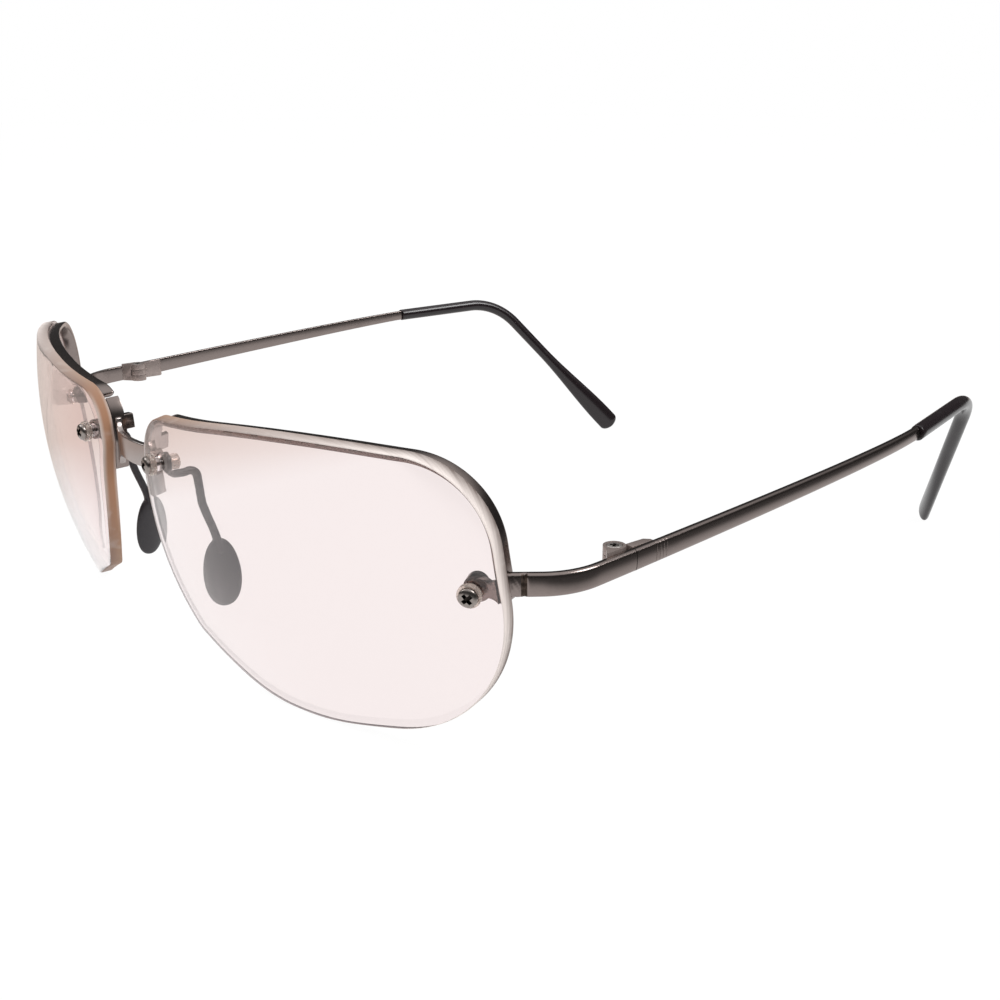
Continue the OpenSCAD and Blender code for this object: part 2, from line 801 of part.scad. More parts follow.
// The middle line of the tip: straight back, a round bend, then down and inward to the surface.
tip_start = [outer_x - temple_bow - temple_t / 2, temple_end_y, temple_end_z];
tip_corner = tip_start + [-tip_in, tip_straight, tip_rise];
tip_end = [tip_corner.x - hook_in, tip_corner.y + hook_back, tip_reach.z];
tip_bend = bend(tip_start, tip_corner, tip_end, bend_r, bend_steps);
tip_line = concat(
    [for (k = [0:3]) mix(tip_start, tip_bend[0], k / 4)],
    tip_bend,
    [for (k = [1:hook_steps]) mix(tip_bend[bend_steps], tip_end, k / hook_steps)]);
hook_first = 4 + bend_steps;
core_last = hook_first + round(core_share * hook_steps);

// Heading of the tip's middle line, straight back at its mouth.
function tip_way(i) = i == 0 ? [0, 1, 0] : heading(tip_line, i);
// How far the hook has widened into the flat end, from 0 to 1.
function widening(i) = let (f = min(1, max(0, (i - hook_first) / hook_steps - widen_from) / widen_over))
    f * f * (3 - 2 * f);

// The wire starts a lead ahead of the sleeve's mouth.
module wire(radius, last, lead) {
    mouth = ring(tip_start - [0, lead, 0], tip_way(0), flat_face, radius, radius, wire_sides);
    first = lead > 0 ? 0 : 1;
    tube(concat([mouth], [for (i = [first:last])
        ring(tip_line[i], tip_way(i), flat_face, radius, radius, wire_sides)]));
}

module core_wire() {
    color("silver")
        wire(core_d / 2, core_last, 0);
}

module temple_tip() {
    last = len(tip_line) - 1;
    bore_r = core_d / 2 + 2 * bore_fit;
    body = [for (i = [0:last]) let (f = widening(i))
        ring(tip_line[i], tip_way(i), flat_face, mix(sleeve_d, tip_w, f) / 2,
            mix(sleeve_d, tip_t, f) / 2, 20)];
    round_end = [for (a = [15:15:75])
        ring(tip_end + hook_way * tip_round * sin(a), hook_way, flat_face, tip_w / 2 * cos(a),
            tip_t / 2 * sqrt(cos(a)), 20)];
    color([0.12, 0.12, 0.12])
        difference() {
            tube(concat(body, round_end));
            wire(bore_r, core_last, sleeve_d);
        }
}

side(1) lens();  // lens_left
side(-1) lens();  // lens_right
side(1) brow_bar();  // brow_bar_left
side(-1) brow_bar();  // brow_bar_right
side(1) brow_tab();  // brow_tab_left
side(-1) brow_tab();  // brow_tab_right
side(1) endpiece();  // endpiece_left
side(-1) endpiece();  // endpiece_right
bridge();
side(1) bridge_leg();  // bridge_leg_left
side(-1) bridge_leg();  // bridge_leg_right
side(1) nasal_tab();  // nasal_tab_left
side(-1) nasal_tab();  // nasal_tab_right
side(1) nasal_screw();  // nasal_screw_left
side(-1) nasal_screw();  // nasal_screw_right
side(1) temporal_screw();  // temporal_screw_left
side(-1) temporal_screw();  // temporal_screw_right
side(1) bushing(nasal_hole, nasal_flange_t);  // nasal_bushing_left
side(-1) bushing(nasal_hole, nasal_flange_t);  // nasal_bushing_right
side(1) bushing(temporal_hole, temporal_flange_t);  // temporal_bushing_left
side(-1) bushing(temporal_hole, temporal_flange_t);  // temporal_bushing_right
side(1) nasal_cap();  // nasal_cap_left
side(-1) nasal_cap();  // nasal_cap_right
side(1) temporal_nut();  // temporal_nut_left
side(-1) temporal_nut();  // temporal_nut_right
side(1) nose_pad();  // nose_pad_left
side(-1) nose_pad();  // nose_pad_right
side(1) hinge_front();  // hinge_front_left
side(-1) hinge_front();  // hinge_front_right
side(1) hinge_screw();  // hinge_screw_left
side(-1) hinge_screw();  // hinge_screw_right
side(1) hinge_rear();  // hinge_rear_left
side(-1) hinge_rear();  // hinge_rear_right
side(1) temple();  // temple_left
side(-1) temple();  // temple_right
side(1) core_wire();  // core_wire_left
side(-1) core_wire();  // core_wire_right
side(1) temple_tip();  // temple_tip_left
side(-1) temple_tip();  // temple_tip_right
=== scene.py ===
import json
from math import acos, asin, atan2, ceil, cos, degrees, exp, pi, radians, sin, sqrt, tan

import bmesh
import bpy
from mathutils import Matrix, Vector


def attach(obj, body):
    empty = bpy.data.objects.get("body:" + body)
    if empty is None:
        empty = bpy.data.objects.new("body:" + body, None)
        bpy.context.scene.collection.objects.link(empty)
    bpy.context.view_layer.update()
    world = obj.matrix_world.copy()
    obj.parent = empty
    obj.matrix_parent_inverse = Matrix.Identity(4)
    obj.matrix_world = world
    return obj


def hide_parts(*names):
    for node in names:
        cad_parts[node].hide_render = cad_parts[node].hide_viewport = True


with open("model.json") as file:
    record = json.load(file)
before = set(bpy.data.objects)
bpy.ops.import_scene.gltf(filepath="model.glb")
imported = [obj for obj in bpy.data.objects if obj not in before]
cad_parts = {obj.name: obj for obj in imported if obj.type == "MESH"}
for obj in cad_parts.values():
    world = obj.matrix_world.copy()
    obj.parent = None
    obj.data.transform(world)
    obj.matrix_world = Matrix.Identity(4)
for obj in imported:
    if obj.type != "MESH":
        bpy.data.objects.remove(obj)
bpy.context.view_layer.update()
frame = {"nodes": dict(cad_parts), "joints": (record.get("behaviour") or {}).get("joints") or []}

mm = 0.001
sideSigns = {"left": 1, "right": -1}
print("frame loaded")

# Sizes in millimetres, the same as the part's own.
lensSize = {
    "width": 62.3, "height": 41.1, "thick": 1.75, "radius": 79.0, "gap": 14.2,
    "wrap": 15.5, "lean": 7.0, "bevel": 0.15, "bevelSteps": 4, "rings": 26, "coarseRings": 8,
    "centre": 0.03, "arcStep": 2.0, "pointSpacing": 0.9,
}
# Corners of the outline: shares of the half width and half height, and the rounding radius as a
# share of the half height.
lensCorners = [
    (-0.962, 0.812, 0.344), (0.064, 1.026, 6.927), (0.934, 0.938, 0.631),
    (1.078, -0.762, 0.957), (0.091, -1.005, 2.245), (-0.254, -0.988, 1.167),
    (-0.712, -0.666, 0.188), (-0.909, -0.268, 1.68), (-1.001, 0.426, 0.223),
]
holeSize = {
    "nasalIn": 4.1, "nasalUp": 10.5, "temporalIn": 3.6, "temporalUp": 3.7,
    "diameter": 2.12, "drill": (-3, 4),
}
hingeSize = {
    "knuckle": 2.9, "fit": 0.12, "height": 3.4, "pin": 1.1, "head": 2.1, "headHeight": 0.4,
    "crossWidth": 0.7, "crossDepth": 0.6,
}
endSize = {
    "out": 5.9, "length": 16.2, "up": 4.0, "angle": 44.0, "bend": 10.0, "height": 3.1,
    "rise": 1.1, "bendSteps": 26, "leadSteps": 24, "straightSteps": 30, "tailSteps": 6,
}
templeSize = {
    "length": 65.7, "thick": 1.1, "height": 2.85, "endHeight": 2.0, "bow": 2.5, "rise": 4.5,
    "splitGap": 0.1, "pull": 0.79, "stations": 90,
}

wrap, lean = radians(lensSize["wrap"]), radians(lensSize["lean"])
across = Vector((cos(wrap), sin(wrap), 0))
upward = Vector((
    sin(lean) * sin(wrap), -sin(lean) * cos(wrap), cos(lean)))
forward = Vector((
    cos(lean) * sin(wrap), -cos(lean) * cos(wrap), -sin(lean)))


def mix(a, b, share):
    return a + (b - a) * share


def sag(distance):
    return lensSize["radius"] - sqrt(lensSize["radius"] ** 2 - distance ** 2)


def radialOffset(x, y, depth):
    front = sqrt(lensSize["radius"] ** 2 - x * x - y * y)
    share = (lensSize["radius"] - depth) / lensSize["radius"]
    return (across * x * share + upward * y * share
            + forward * (front * share - lensSize["radius"]))


hingeAt = Vector(frame["joints"][0]["pos_m"]) / mm
edgeOffset = radialOffset(lensSize["width"] / 2, endSize["up"], lensSize["thick"])
hingeBack = edgeOffset.y + endSize["length"] - hingeSize["knuckle"] / 2 + hingeSize["fit"]
lensCentre = Vector((
    lensSize["gap"] / 2 + lensSize["width"] / 2 * cos(wrap)
    + sag(lensSize["width"] / 2) * sin(wrap),
    hingeAt.y - hingeBack,
    lensSize["height"] / 2 * cos(lean) - sag(lensSize["height"] / 2) * sin(lean),
))
lensFrame = Matrix.Translation(lensCentre) @ Matrix((
    (across.x, upward.x, forward.x, 0),
    (across.y, upward.y, forward.y, 0),
    (across.z, upward.z, forward.z, 0),
    (0, 0, 0, 1),
))
nasalHole = (holeSize["nasalIn"] - lensSize["width"] / 2, holeSize["nasalUp"])
temporalHole = (lensSize["width"] / 2 - holeSize["temporalIn"], holeSize["temporalUp"])
outerX = lensCentre.x + edgeOffset.x + endSize["out"]
splitY = lensCentre.y + edgeOffset.y + endSize["length"]
endZ = lensCentre.z + edgeOffset.z
hingeZ = endZ + endSize["rise"]
print("places", [round(v, 3) for v in lensCentre], round(outerX, 3), round(splitY, 3))


# Outline of a lens, in its own plane.
def cornerAt(i):
    x, y, share = lensCorners[i % len(lensCorners)]
    return Vector((x * lensSize["width"] / 2, y * lensSize["height"] / 2))


def cornerArc(i, inset):
    radius = lensCorners[i][2] * lensSize["height"] / 2
    before = (cornerAt(i) - cornerAt(i - 1)).normalized()
    after = (cornerAt(i + 1) - cornerAt(i)).normalized()
    outBefore, outAfter = Vector((-before.y, before.x)), Vector((-after.y, after.x))
    centre = cornerAt(i) - (outBefore + outAfter) * radius / (1 + outBefore.dot(outAfter))
    start = atan2(outBefore.y, outBefore.x)
    turn = acos(min(1, outBefore.dot(outAfter)))
    steps = max(3, ceil(degrees(turn) / lensSize["arcStep"]))
    return [centre + (radius - inset) * Vector((cos(a), sin(a)))
            for a in (start - turn * k / steps for k in range(steps + 1))]


def outline(inset):
    arcs = [cornerArc(i, inset) for i in range(len(lensCorners))]
    plain = [cornerArc(i, 0) for i in range(len(lensCorners))]
    points = []
    for i, arc in enumerate(arcs):
        points += arc
        following = (i + 1) % len(arcs)
        span = (plain[following][0] - plain[i][-1]).length
        fill = max(1, int(span / lensSize["pointSpacing"]))
        points += [mix(arc[-1], arcs[following][0], k / fill) for k in range(1, fill)]
    return points


def lensPoint(x, y, depth):
    back = lensSize["radius"] - depth
    return lensFrame @ Vector((x, y, sqrt(back * back - x * x - y * y) - lensSize["radius"]))


def holeFrame(hole, depth):
    x, y = hole
    tip = -asin(y / lensSize["radius"])
    turn = asin(x / sqrt(lensSize["radius"] ** 2 - y * y))
    return (lensFrame @ Matrix.Translation((0, 0, -lensSize["radius"]))
            @ Matrix.Rotation(turn, 4, "Y") @ Matrix.Rotation(tip, 4, "X")
            @ Matrix.Translation((0, 0, lensSize["radius"] - depth)))


def bendPoints(a, b, c, radius, steps):
    back, on = (a - b).normalized(), (c - b).normalized()
    half = acos(back.dot(on)) / 2
    middle = b + (back + on).normalized() * radius / sin(half)
    start = (b + back * radius / tan(half) - middle).normalized()
    end = (b + on * radius / tan(half) - middle).normalized()
    sweep = pi - 2 * half
    return [middle + radius * (start * sin(sweep * (1 - k / steps))
                               + end * sin(sweep * k / steps)) / sin(sweep)
            for k in range(steps + 1)]


def bezier(p, f):
    g = 1 - f
    return p[0] * g ** 3 + p[1] * 3 * g * g * f + p[2] * 3 * g * f * f + p[3] * f ** 3


# Making meshes.
def makeObject(name, bm, sharp=40):
    bmesh.ops.recalc_face_normals(bm, faces=bm.faces)
    mesh = bpy.data.meshes.new(name)
    bm.to_mesh(mesh)
    bm.free()
    mesh.shade_smooth()
    mesh.set_sharp_from_angle(angle=radians(sharp))
    made = bpy.data.objects.new(name, mesh)
    bpy.context.scene.collection.objects.link(made)
    return made


def skinRings(name, rings, sharp=40, closed=False):
    # A skin over rings of points in millimetres. A closed one ends where it starts.
    bm = bmesh.new()
    rows = [[bm.verts.new(Vector(p) * mm) for p in ring] for ring in rings]
    for a, b in zip(rows, rows[1:] + rows[:1] if closed else rows[1:]):
        for k in range(len(a)):
            n = (k + 1) % len(a)
            bm.faces.new((a[k], a[n], b[n], b[k]))
    if not closed:
        bm.faces.new(rows[0])
        bm.faces.new(rows[-1])
    return makeObject(name, bm, sharp)


def settle(made, sharp=None):
    # The modifiers' result becomes the mesh itself.
    bpy.context.view_layer.update()
    shape = bpy.data.meshes.new_from_object(
        made.evaluated_get(bpy.context.evaluated_depsgraph_get()))
    made.modifiers.clear()
    made.data = shape
    if sharp is not None:
        shape.shade_smooth()
        shape.set_sharp_from_angle(angle=radians(sharp))
    return made


def carve(made, cutter, how="DIFFERENCE", sharp=40):
    step = made.modifiers.new("carve", "BOOLEAN")
    step.operation, step.solver, step.object = how, "EXACT", cutter
    settle(made, sharp)
    bpy.data.objects.remove(cutter)
    return made


def ellipse(centre, u, v, sides):
    return [centre + u * cos(2 * pi * k / sides) + v * sin(2 * pi * k / sides)
            for k in range(sides)]


def turned(name, profile, place, sides=64, sharp=35, closed=False):
    # A profile of (radius, height) turned round the z axis and set at a place.
    rings = [[place @ p for p in ellipse(Vector((0, 0, height)), Vector((radius, 0, 0)),
                                         Vector((0, radius, 0)), sides)]
             for radius, height in profile]
    return skinRings(name, rings, sharp, closed)


def roundedSection(halfA, halfB, radius, steps=5, parts=1):
    # A rounded rectangle whose two long sides each have a number of parts.
    points = []
    for sa, sb, first in ((1, 1, 0), (-1, 1, 90), (-1, -1, 180), (1, -1, 270)):
        for k in range(steps + 1):
            a = radians(first + 90 * k / steps)
            points.append((sa * (halfA - radius) + radius * cos(a),
                           sb * (halfB - radius) + radius * sin(a)))
        if sa * sb < 0:
            side = points[-1][0]
            points += [(side, mix(sb, -sb, k / parts) * (halfB - radius))
                       for k in range(1, parts)]
    return points


def roundedEnds(rings, radius, steps=4):
    # The first and the last ring, each replaced by rings that shrink outward along an arc.
    def cap(ring, inner):
        middle = sum(ring, Vector()) / len(ring)
        way = (middle - sum(inner, Vector()) / len(inner)).normalized()
        size = max((p - middle).length for p in ring)
        made = []
        for k in range(steps + 1):
            a = pi / 2 * k / steps
            shrink = 1 - radius / size * (1 - cos(a))
            made.append([middle + (p - middle) * shrink + way * radius * (sin(a) - 1)
                         for p in ring])
        return made

    front = cap(rings[0], rings[1])[::-1]
    rear = cap(rings[-1], rings[-2])
    return front + rings[1:-1] + rear


def mirrored(made, name):
    shape = made.data.copy()
    shape.transform(Matrix.Scale(-1, 4, (1, 0, 0)))
    shape.flip_normals()
    twin = bpy.data.objects.new(name, shape)
    bpy.context.scene.collection.objects.link(twin)
    return twin


def giveLooks(made, *names):
    made.data.materials.clear()
    for name in names:
        made.data.materials.append(looks[name])


def settlePair(made, node, look=None, moving=False):
    # The left piece and its mirror image each stand for their own node and ride its body.
    if look:
        giveLooks(made, look)
    for side in sideSigns:
        piece = made if side == "left" else mirrored(made, made.name[:-4] + "Right")
        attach(piece, side + "_temple" if moving else "front")
        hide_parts(node + "_" + side)


def softened(node, name, width, segments=3, angle=28, sharp=35):
    # The CAD solid's shape with the small radius that its real edges have.
    source = frame["nodes"][node]
    bm = bmesh.new()
    bm.from_mesh(source.data)
    bmesh.ops.remove_doubles(bm, verts=bm.verts, dist=2e-6)
    bmesh.ops.dissolve_limit(bm, angle_limit=radians(2.5), verts=bm.verts, edges=bm.edges)
    made = makeObject(name, bm, sharp)
    step = made.modifiers.new("edges", "BEVEL")
    step.width, step.segments = width * mm, segments
    step.limit_method, step.angle_limit = "ANGLE", radians(angle)
    step.use_clamp_overlap = True
    return settle(made, sharp)


# Shader helpers. A value is another node's output, a number or a tuple.
def feed(tree, socket, value):
    if isinstance(value, bpy.types.NodeSocket):
        tree.links.new(value, socket)
    elif socket.type == "RGBA" and len(value) == 3:
        socket.default_value = (*value, 1)
    else:
        socket.default_value = value


def addNode(tree, kind, values, **settings):
    # A node with its settings, and its inputs by name or number. Gives its outputs.
    node = tree.nodes.new("ShaderNode" + kind)
    for key, value in settings.items():
        setattr(node, key, value)
    for label, value in values.items():
        feed(tree, node.inputs[label], value)
    return node.outputs


def calculate(tree, how, a, b=0.5, c=0.5, clamp=False):
    return addNode(tree, "Math", {0: a, 1: b, 2: c}, operation=how, use_clamp=clamp)[0]


def splitVector(tree, vector):
    return addNode(tree, "SeparateXYZ", {"Vector": vector})


def mapRange(tree, value, source=(0, 1), target=(0, 1), way="LINEAR"):
    return addNode(tree, "MapRange", {
        "Value": value, "From Min": source[0], "From Max": source[1], "To Min": target[0],
        "To Max": target[1]}, interpolation_type=way)["Result"]


def blendColours(tree, mask, a, b):
    return addNode(tree, "Mix", {"Factor": mask, "A": a, "B": b}, data_type="RGBA")["Result"]


def colourRamp(tree, value, stops):
    # The stops are pairs of a place and a colour.
    node = tree.nodes.new("ShaderNodeValToRGB")
    elements = node.color_ramp.elements
    while len(elements) < len(stops):
        elements.new(0.5)
    for element, (at, tone) in zip(elements, stops):
        element.position, element.color = at, (*tone, 1)
    feed(tree, node.inputs["Fac"], value)
    return node.outputs["Color"]


def showEither(tree, share, first, second):
    shown = addNode(tree, "MixShader", {0: share, 1: first, 2: second})["Shader"]
    feed(tree, tree.nodes["Material Output"].inputs["Surface"], shown)


# Shader node groups.
def newGroup(name, inputs, outputs):
    group = bpy.data.node_groups.new(name, "ShaderNodeTree")
    for label, kind, value in inputs:
        socket = group.interface.new_socket(label, in_out="INPUT", socket_type=kind)
        if value is not None:
            socket.default_value = value
    for label, kind in outputs:
        group.interface.new_socket(label, in_out="OUTPUT", socket_type=kind)
    given, result = group.nodes.new("NodeGroupInput"), group.nodes.new("NodeGroupOutput")
    return group, given.outputs, result.inputs


def makeGrainGroup():
    # Fine plating or moulding grain: a mask from 0 to 1 and a height.
    group, given, result = newGroup("grain", [
        ("Vector", "NodeSocketVector", None), ("Scale", "NodeSocketFloat", 4000.0),
        ("Stretch", "NodeSocketVector", (1, 1, 1)), ("Contrast", "NodeSocketFloat", 1.0)],
        [("Mask", "NodeSocketFloat"), ("Height", "NodeSocketFloat")])
    stretched = addNode(group, "VectorMath", {0: given["Vector"], 1: given["Stretch"]},
                        operation="MULTIPLY")["Vector"]
    grain = addNode(group, "TexNoise", {
        "Vector": stretched, "Scale": given["Scale"], "Detail": 4})["Fac"]
    fromMiddle = calculate(group, "SUBTRACT", grain, 0.5)
    gained = calculate(group, "MULTIPLY", fromMiddle, given["Contrast"])
    feed(group, result["Mask"], calculate(group, "ADD", gained, 0.5, clamp=True))
    feed(group, result["Height"], grain)
    return group


def makeWearGroup():
    # Broad handling marks: a mask that is 0 on clean plating and 1 in a mark.
    group, given, result = newGroup("handling", [
        ("Vector", "NodeSocketVector", None), ("Scale", "NodeSocketFloat", 300.0),
        ("From", "NodeSocketFloat", 0.55), ("To", "NodeSocketFloat", 0.75)],
        [("Mask", "NodeSocketFloat")])
    marks = addNode(group, "TexNoise", {
        "Vector": given["Vector"], "Scale": given["Scale"], "Detail": 3, "Distortion": 0.4})["Fac"]
    feed(group, result["Mask"], mapRange(group, marks, (given["From"], given["To"])))
    return group


grainGroup, wearGroup = makeGrainGroup(), makeWearGroup()
grainKeys = {"Scale": "grainScale", "Stretch": "stretch", "Contrast": "contrast"}
wearKeys = {"Scale": "markScale", "From": "markFrom", "To": "markTo"}


def startMaterial(name):
    material = bpy.data.materials.new(name)
    material.use_nodes = True
    tree = material.node_tree
    return material, tree, tree.nodes["Principled BSDF"], addNode(tree, "TexCoord", {})["Object"]


def placeGroup(tree, group, keys, values, place):
    given = {label: values[key] for label, key in keys.items()}
    return addNode(tree, "Group", {**given, "Vector": place}, node_tree=group)


def roughen(tree, shader, values, marks):
    feed(tree, shader.inputs["Roughness"],
         mapRange(tree, marks, target=(values["rough"], values["markRough"])))


def emboss(tree, shader, values, height):
    feed(tree, shader.inputs["Normal"], addNode(tree, "Bump", {
        "Strength": values["bump"], "Distance": values["bumpDepth"] * mm,
        "Height": height})["Normal"])


def solidMaterial(name, values):
    # Plating, steel and black plastic: grain in the colour and bump, with handling marks.
    material, tree, shader, place = startMaterial(name)
    grain = placeGroup(tree, grainGroup, grainKeys, values, place)
    marks = placeGroup(tree, wearGroup, wearKeys, values, place)["Mask"]
    base = blendColours(tree, grain["Mask"], values["dark"], values["light"])
    feed(tree, shader.inputs["Base Color"], blendColours(tree, marks, base, values["mark"]))
    roughen(tree, shader, values, marks)
    emboss(tree, shader, values, grain["Height"])
    shader.inputs["Metallic"].default_value = values["metal"]
    return material


def clearMaterial(name, values):
    # Clear plastic. Shadow rays pass, tinted, so that what stands behind it is lit.
    material, tree, shader, place = startMaterial(name)
    marks = placeGroup(tree, wearGroup, wearKeys, values, place)["Mask"]
    feed(tree, shader.inputs["Base Color"],
         blendColours(tree, marks, values["tint"], values["smear"]))
    roughen(tree, shader, values, marks)
    shader.inputs["Metallic"].default_value = 0
    shader.inputs["Transmission Weight"].default_value = values["clear"]
    shader.inputs["IOR"].default_value = values["ior"]
    through = addNode(tree, "BsdfTransparent", {"Color": values["tint"]})["BSDF"]
    shadow = addNode(tree, "LightPath", {})["Is Shadow Ray"]
    showEither(tree, shadow, shader.outputs["BSDF"], through)
    return material


# What a finish doesn't name itself.
plainFinish = {
    "grainScale": 2600, "stretch": (1, 1, 1), "contrast": 1.0, "markScale": 260, "markFrom": 0.6,
    "markTo": 0.8, "bumpDepth": 0.02, "metal": 1,
}
finishes = {
    "gunmetal": {
        "dark": (0.24, 0.198, 0.185), "light": (0.28, 0.235, 0.22), "mark": (0.18, 0.147, 0.137),
        "stretch": (1, 0.2, 1), "markScale": 150, "markFrom": 0.62, "markTo": 0.82, "rough": 0.2,
        "markRough": 0.25, "bump": 0.008},
    "bridgePlating": {
        "dark": (0.36, 0.315, 0.3), "light": (0.43, 0.385, 0.37), "mark": (0.27, 0.235, 0.225),
        "rough": 0.24, "markRough": 0.32, "bump": 0.06},
    "darkPlating": {
        "dark": (0.1, 0.085, 0.085), "light": (0.16, 0.14, 0.14), "mark": (0.07, 0.06, 0.06),
        "contrast": 1.2, "rough": 0.25, "markRough": 0.36, "bump": 0.08},
    "steel": {
        "dark": (0.24, 0.21, 0.195), "light": (0.38, 0.34, 0.315), "mark": (0.17, 0.145, 0.135),
        "grainScale": 3000, "contrast": 1.3, "markScale": 420, "markFrom": 0.55, "markTo": 0.75,
        "rough": 0.26, "markRough": 0.36, "bump": 0.05},
    "hingePlating": {
        "dark": (0.33, 0.27, 0.25), "light": (0.4, 0.335, 0.31), "mark": (0.24, 0.19, 0.175),
        "rough": 0.42, "markRough": 0.5, "bump": 0.03, "metal": 0.7},
    "brightSteel": {
        "dark": (0.5, 0.46, 0.43), "light": (0.68, 0.63, 0.6), "mark": (0.34, 0.3, 0.28),
        "grainScale": 3000, "contrast": 1.3, "markScale": 420, "markFrom": 0.55, "markTo": 0.75,
        "rough": 0.3, "markRough": 0.4, "bump": 0.04, "metal": 0.85},
    # Painted shade: the near-black look of the screws' cross recesses.
    "recess": {
        "dark": (0.015, 0.012, 0.011), "light": (0.04, 0.033, 0.03), "mark": (0.08, 0.07, 0.065),
        "grainScale": 3000, "contrast": 1.2, "markScale": 500, "rough": 0.45, "markRough": 0.55,
        "bump": 0.06},
    "seam": {
        "dark": (0.03, 0.022, 0.018), "light": (0.09, 0.068, 0.056), "mark": (0.16, 0.12, 0.1),
        "grainScale": 2200, "contrast": 2.2, "markScale": 900, "markFrom": 0.5, "markTo": 0.7,
        "rough": 0.4, "markRough": 0.55, "bump": 0.4, "bumpDepth": 0.05},
    "blackTip": {
        "dark": (0.009, 0.006, 0.007), "light": (0.015, 0.01, 0.012), "mark": (0.02, 0.018, 0.018),
        "grainScale": 1800, "markScale": 160, "markTo": 0.85, "rough": 0.2, "markRough": 0.3,
        "bump": 0.03, "bumpDepth": 0.03, "metal": 0},
    "blackPad": {
        "dark": (0.014, 0.011, 0.014), "light": (0.023, 0.019, 0.022),
        "mark": (0.035, 0.032, 0.032), "grainScale": 1500, "contrast": 1.2, "markScale": 240,
        "markFrom": 0.55, "rough": 0.38, "markRough": 0.48, "bump": 0.08, "bumpDepth": 0.03,
        "metal": 0},
}
clears = {
    "lensPlastic": {
        "tint": (0.938, 0.848, 0.84), "smear": (0.92, 0.82, 0.81), "markScale": 60,
        "markFrom": 0.62, "markTo": 0.9, "rough": 0.0, "markRough": 0.02, "ior": 1.5, "clear": 1},
    "clearFitting": {
        "tint": (0.84, 0.75, 0.69), "smear": (0.66, 0.57, 0.52), "markScale": 700,
        "markFrom": 0.45, "markTo": 0.75, "rough": 0.22, "markRough": 0.35, "ior": 1.42,
        "clear": 0.78},
}
# The ground edge of a lens, with painted light and shade: its tone at distances from the nose, at
# the back and at the front.
edgeTones = {
    "places": (0.008, 0.0145, 0.035, 0.056, 0.07),
    "back": ((0.36, 0.19, 0.11), (0.4, 0.27, 0.2), (0.48, 0.4, 0.365), (0.2, 0.16, 0.145),
             (0.14, 0.11, 0.1)),
    "front": ((0.36, 0.2, 0.13), (0.28, 0.19, 0.155), (0.44, 0.375, 0.35), (0.86, 0.78, 0.74),
              (0.76, 0.68, 0.645)),
    # Seen from inside the glass: painted shade below, painted light above, and a painted glow.
    "inside": (0.8, 0.77, 0.76), "insideShadeBelow": (0.3, 0.27, 0.28), "lowUntil": (0.018, 0.028),
    # The border tones are a painted highlight; the worn colour serves both the wear marks and that
    # highlight.
    "glow": 0.2, "specular": 0.06, "borderHighlight": 0.7, "borderUntil": (0.0085, 0.0115),
    "borderStops": ((0.0, 1), (0.3, 0), (0.7, 0), (1.0, 1)), "wearAndBorderHighlight": (0.62, 0.57, 0.54),
    "grainScale": 900, "stretch": (0.12, 3.0, 0.12), "contrast": 2.0, "markScale": 320,
    "markFrom": 0.55, "markTo": 0.8, "markShare": 0.35, "rough": 0.6, "markRough": 0.7,
    "bump": 0.12, "bumpDepth": 0.03,
}


def greys(stops):
    return [(at, (level, level, level)) for at, level in stops]


def edgeMaterial(name, values):
    # The tone changes from nose to temple and from back to front as painted light and shade, with
    # streaks along the edge.
    # Both lenses are measured as the left one, by the distance from the middle of its sphere.
    material, tree, shader, place = startMaterial(name)
    spot = splitVector(tree, place)
    sideways = calculate(tree, "ABSOLUTE", spot["X"])
    folded = addNode(tree, "CombineXYZ", {"X": sideways, "Y": spot["Y"], "Z": spot["Z"]})["Vector"]
    sphereMiddle = (lensCentre - forward * lensSize["radius"]) * mm
    radius = addNode(tree, "VectorMath", {0: folded, 1: sphereMiddle},
                     operation="DISTANCE")["Value"]
    depth = mapRange(tree, radius, ((lensSize["radius"] - lensSize["thick"]) * mm,
                                    lensSize["radius"] * mm))
    first, last = values["places"][0], values["places"][-1]
    along = mapRange(tree, sideways, (first, last))
    spots = [(at - first) / (last - first) for at in values["places"]]
    # Painted shade at the back and painted light at the front, each changing from nose to temple.
    back, front = (colourRamp(tree, along, list(zip(spots, values[side])))
                   for side in ("back", "front"))
    grain = placeGroup(tree, grainGroup, grainKeys, values, place)
    marks = placeGroup(tree, wearGroup, wearKeys, values, place)["Mask"]
    streaked = calculate(tree, "MULTIPLY_ADD", grain["Mask"], values["markShare"], depth)
    shifted = calculate(tree, "SUBTRACT", streaked, values["markShare"] / 2, clamp=True)
    tone = blendColours(tree, shifted, back, front)
    markMask = calculate(tree, "MULTIPLY", marks, values["markShare"])
    marked = blendColours(tree, markMask, tone, values["wearAndBorderHighlight"])
    # Near the nose the band is paler along both of its sides: a painted highlight on the bevels,
    # in the same colour as the wear marks.
    borderHighlight = colourRamp(tree, depth, greys(values["borderStops"]))
    atNose = mapRange(tree, sideways, values["borderUntil"], (values["borderHighlight"], 0))
    banded = blendColours(tree, calculate(tree, "MULTIPLY", borderHighlight, atNose), marked,
                          values["wearAndBorderHighlight"])
    # Seen from inside the glass the edge has painted light: grey below as painted shade, pale
    # above, with a painted glow standing in for light piped through the lens.
    inside = addNode(tree, "NewGeometry", {})["Backfacing"]
    high = mapRange(tree, spot["Z"], values["lowUntil"])
    paintedInsideTone = blendColours(tree, high, values["insideShadeBelow"], values["inside"])
    feed(tree, shader.inputs["Base Color"], blendColours(tree, inside, banded, paintedInsideTone))
    paintedGlowMask = calculate(tree, "MULTIPLY", inside, high)
    glow = [values["glow"] * c for c in values["inside"]]
    feed(tree, shader.inputs["Emission Color"], blendColours(tree, paintedGlowMask, (0, 0, 0), glow))
    shader.inputs["Emission Strength"].default_value = 1
    shader.inputs["Specular IOR Level"].default_value = values["specular"]
    roughen(tree, shader, values, marks)
    emboss(tree, shader, values, grain["Height"])
    return material


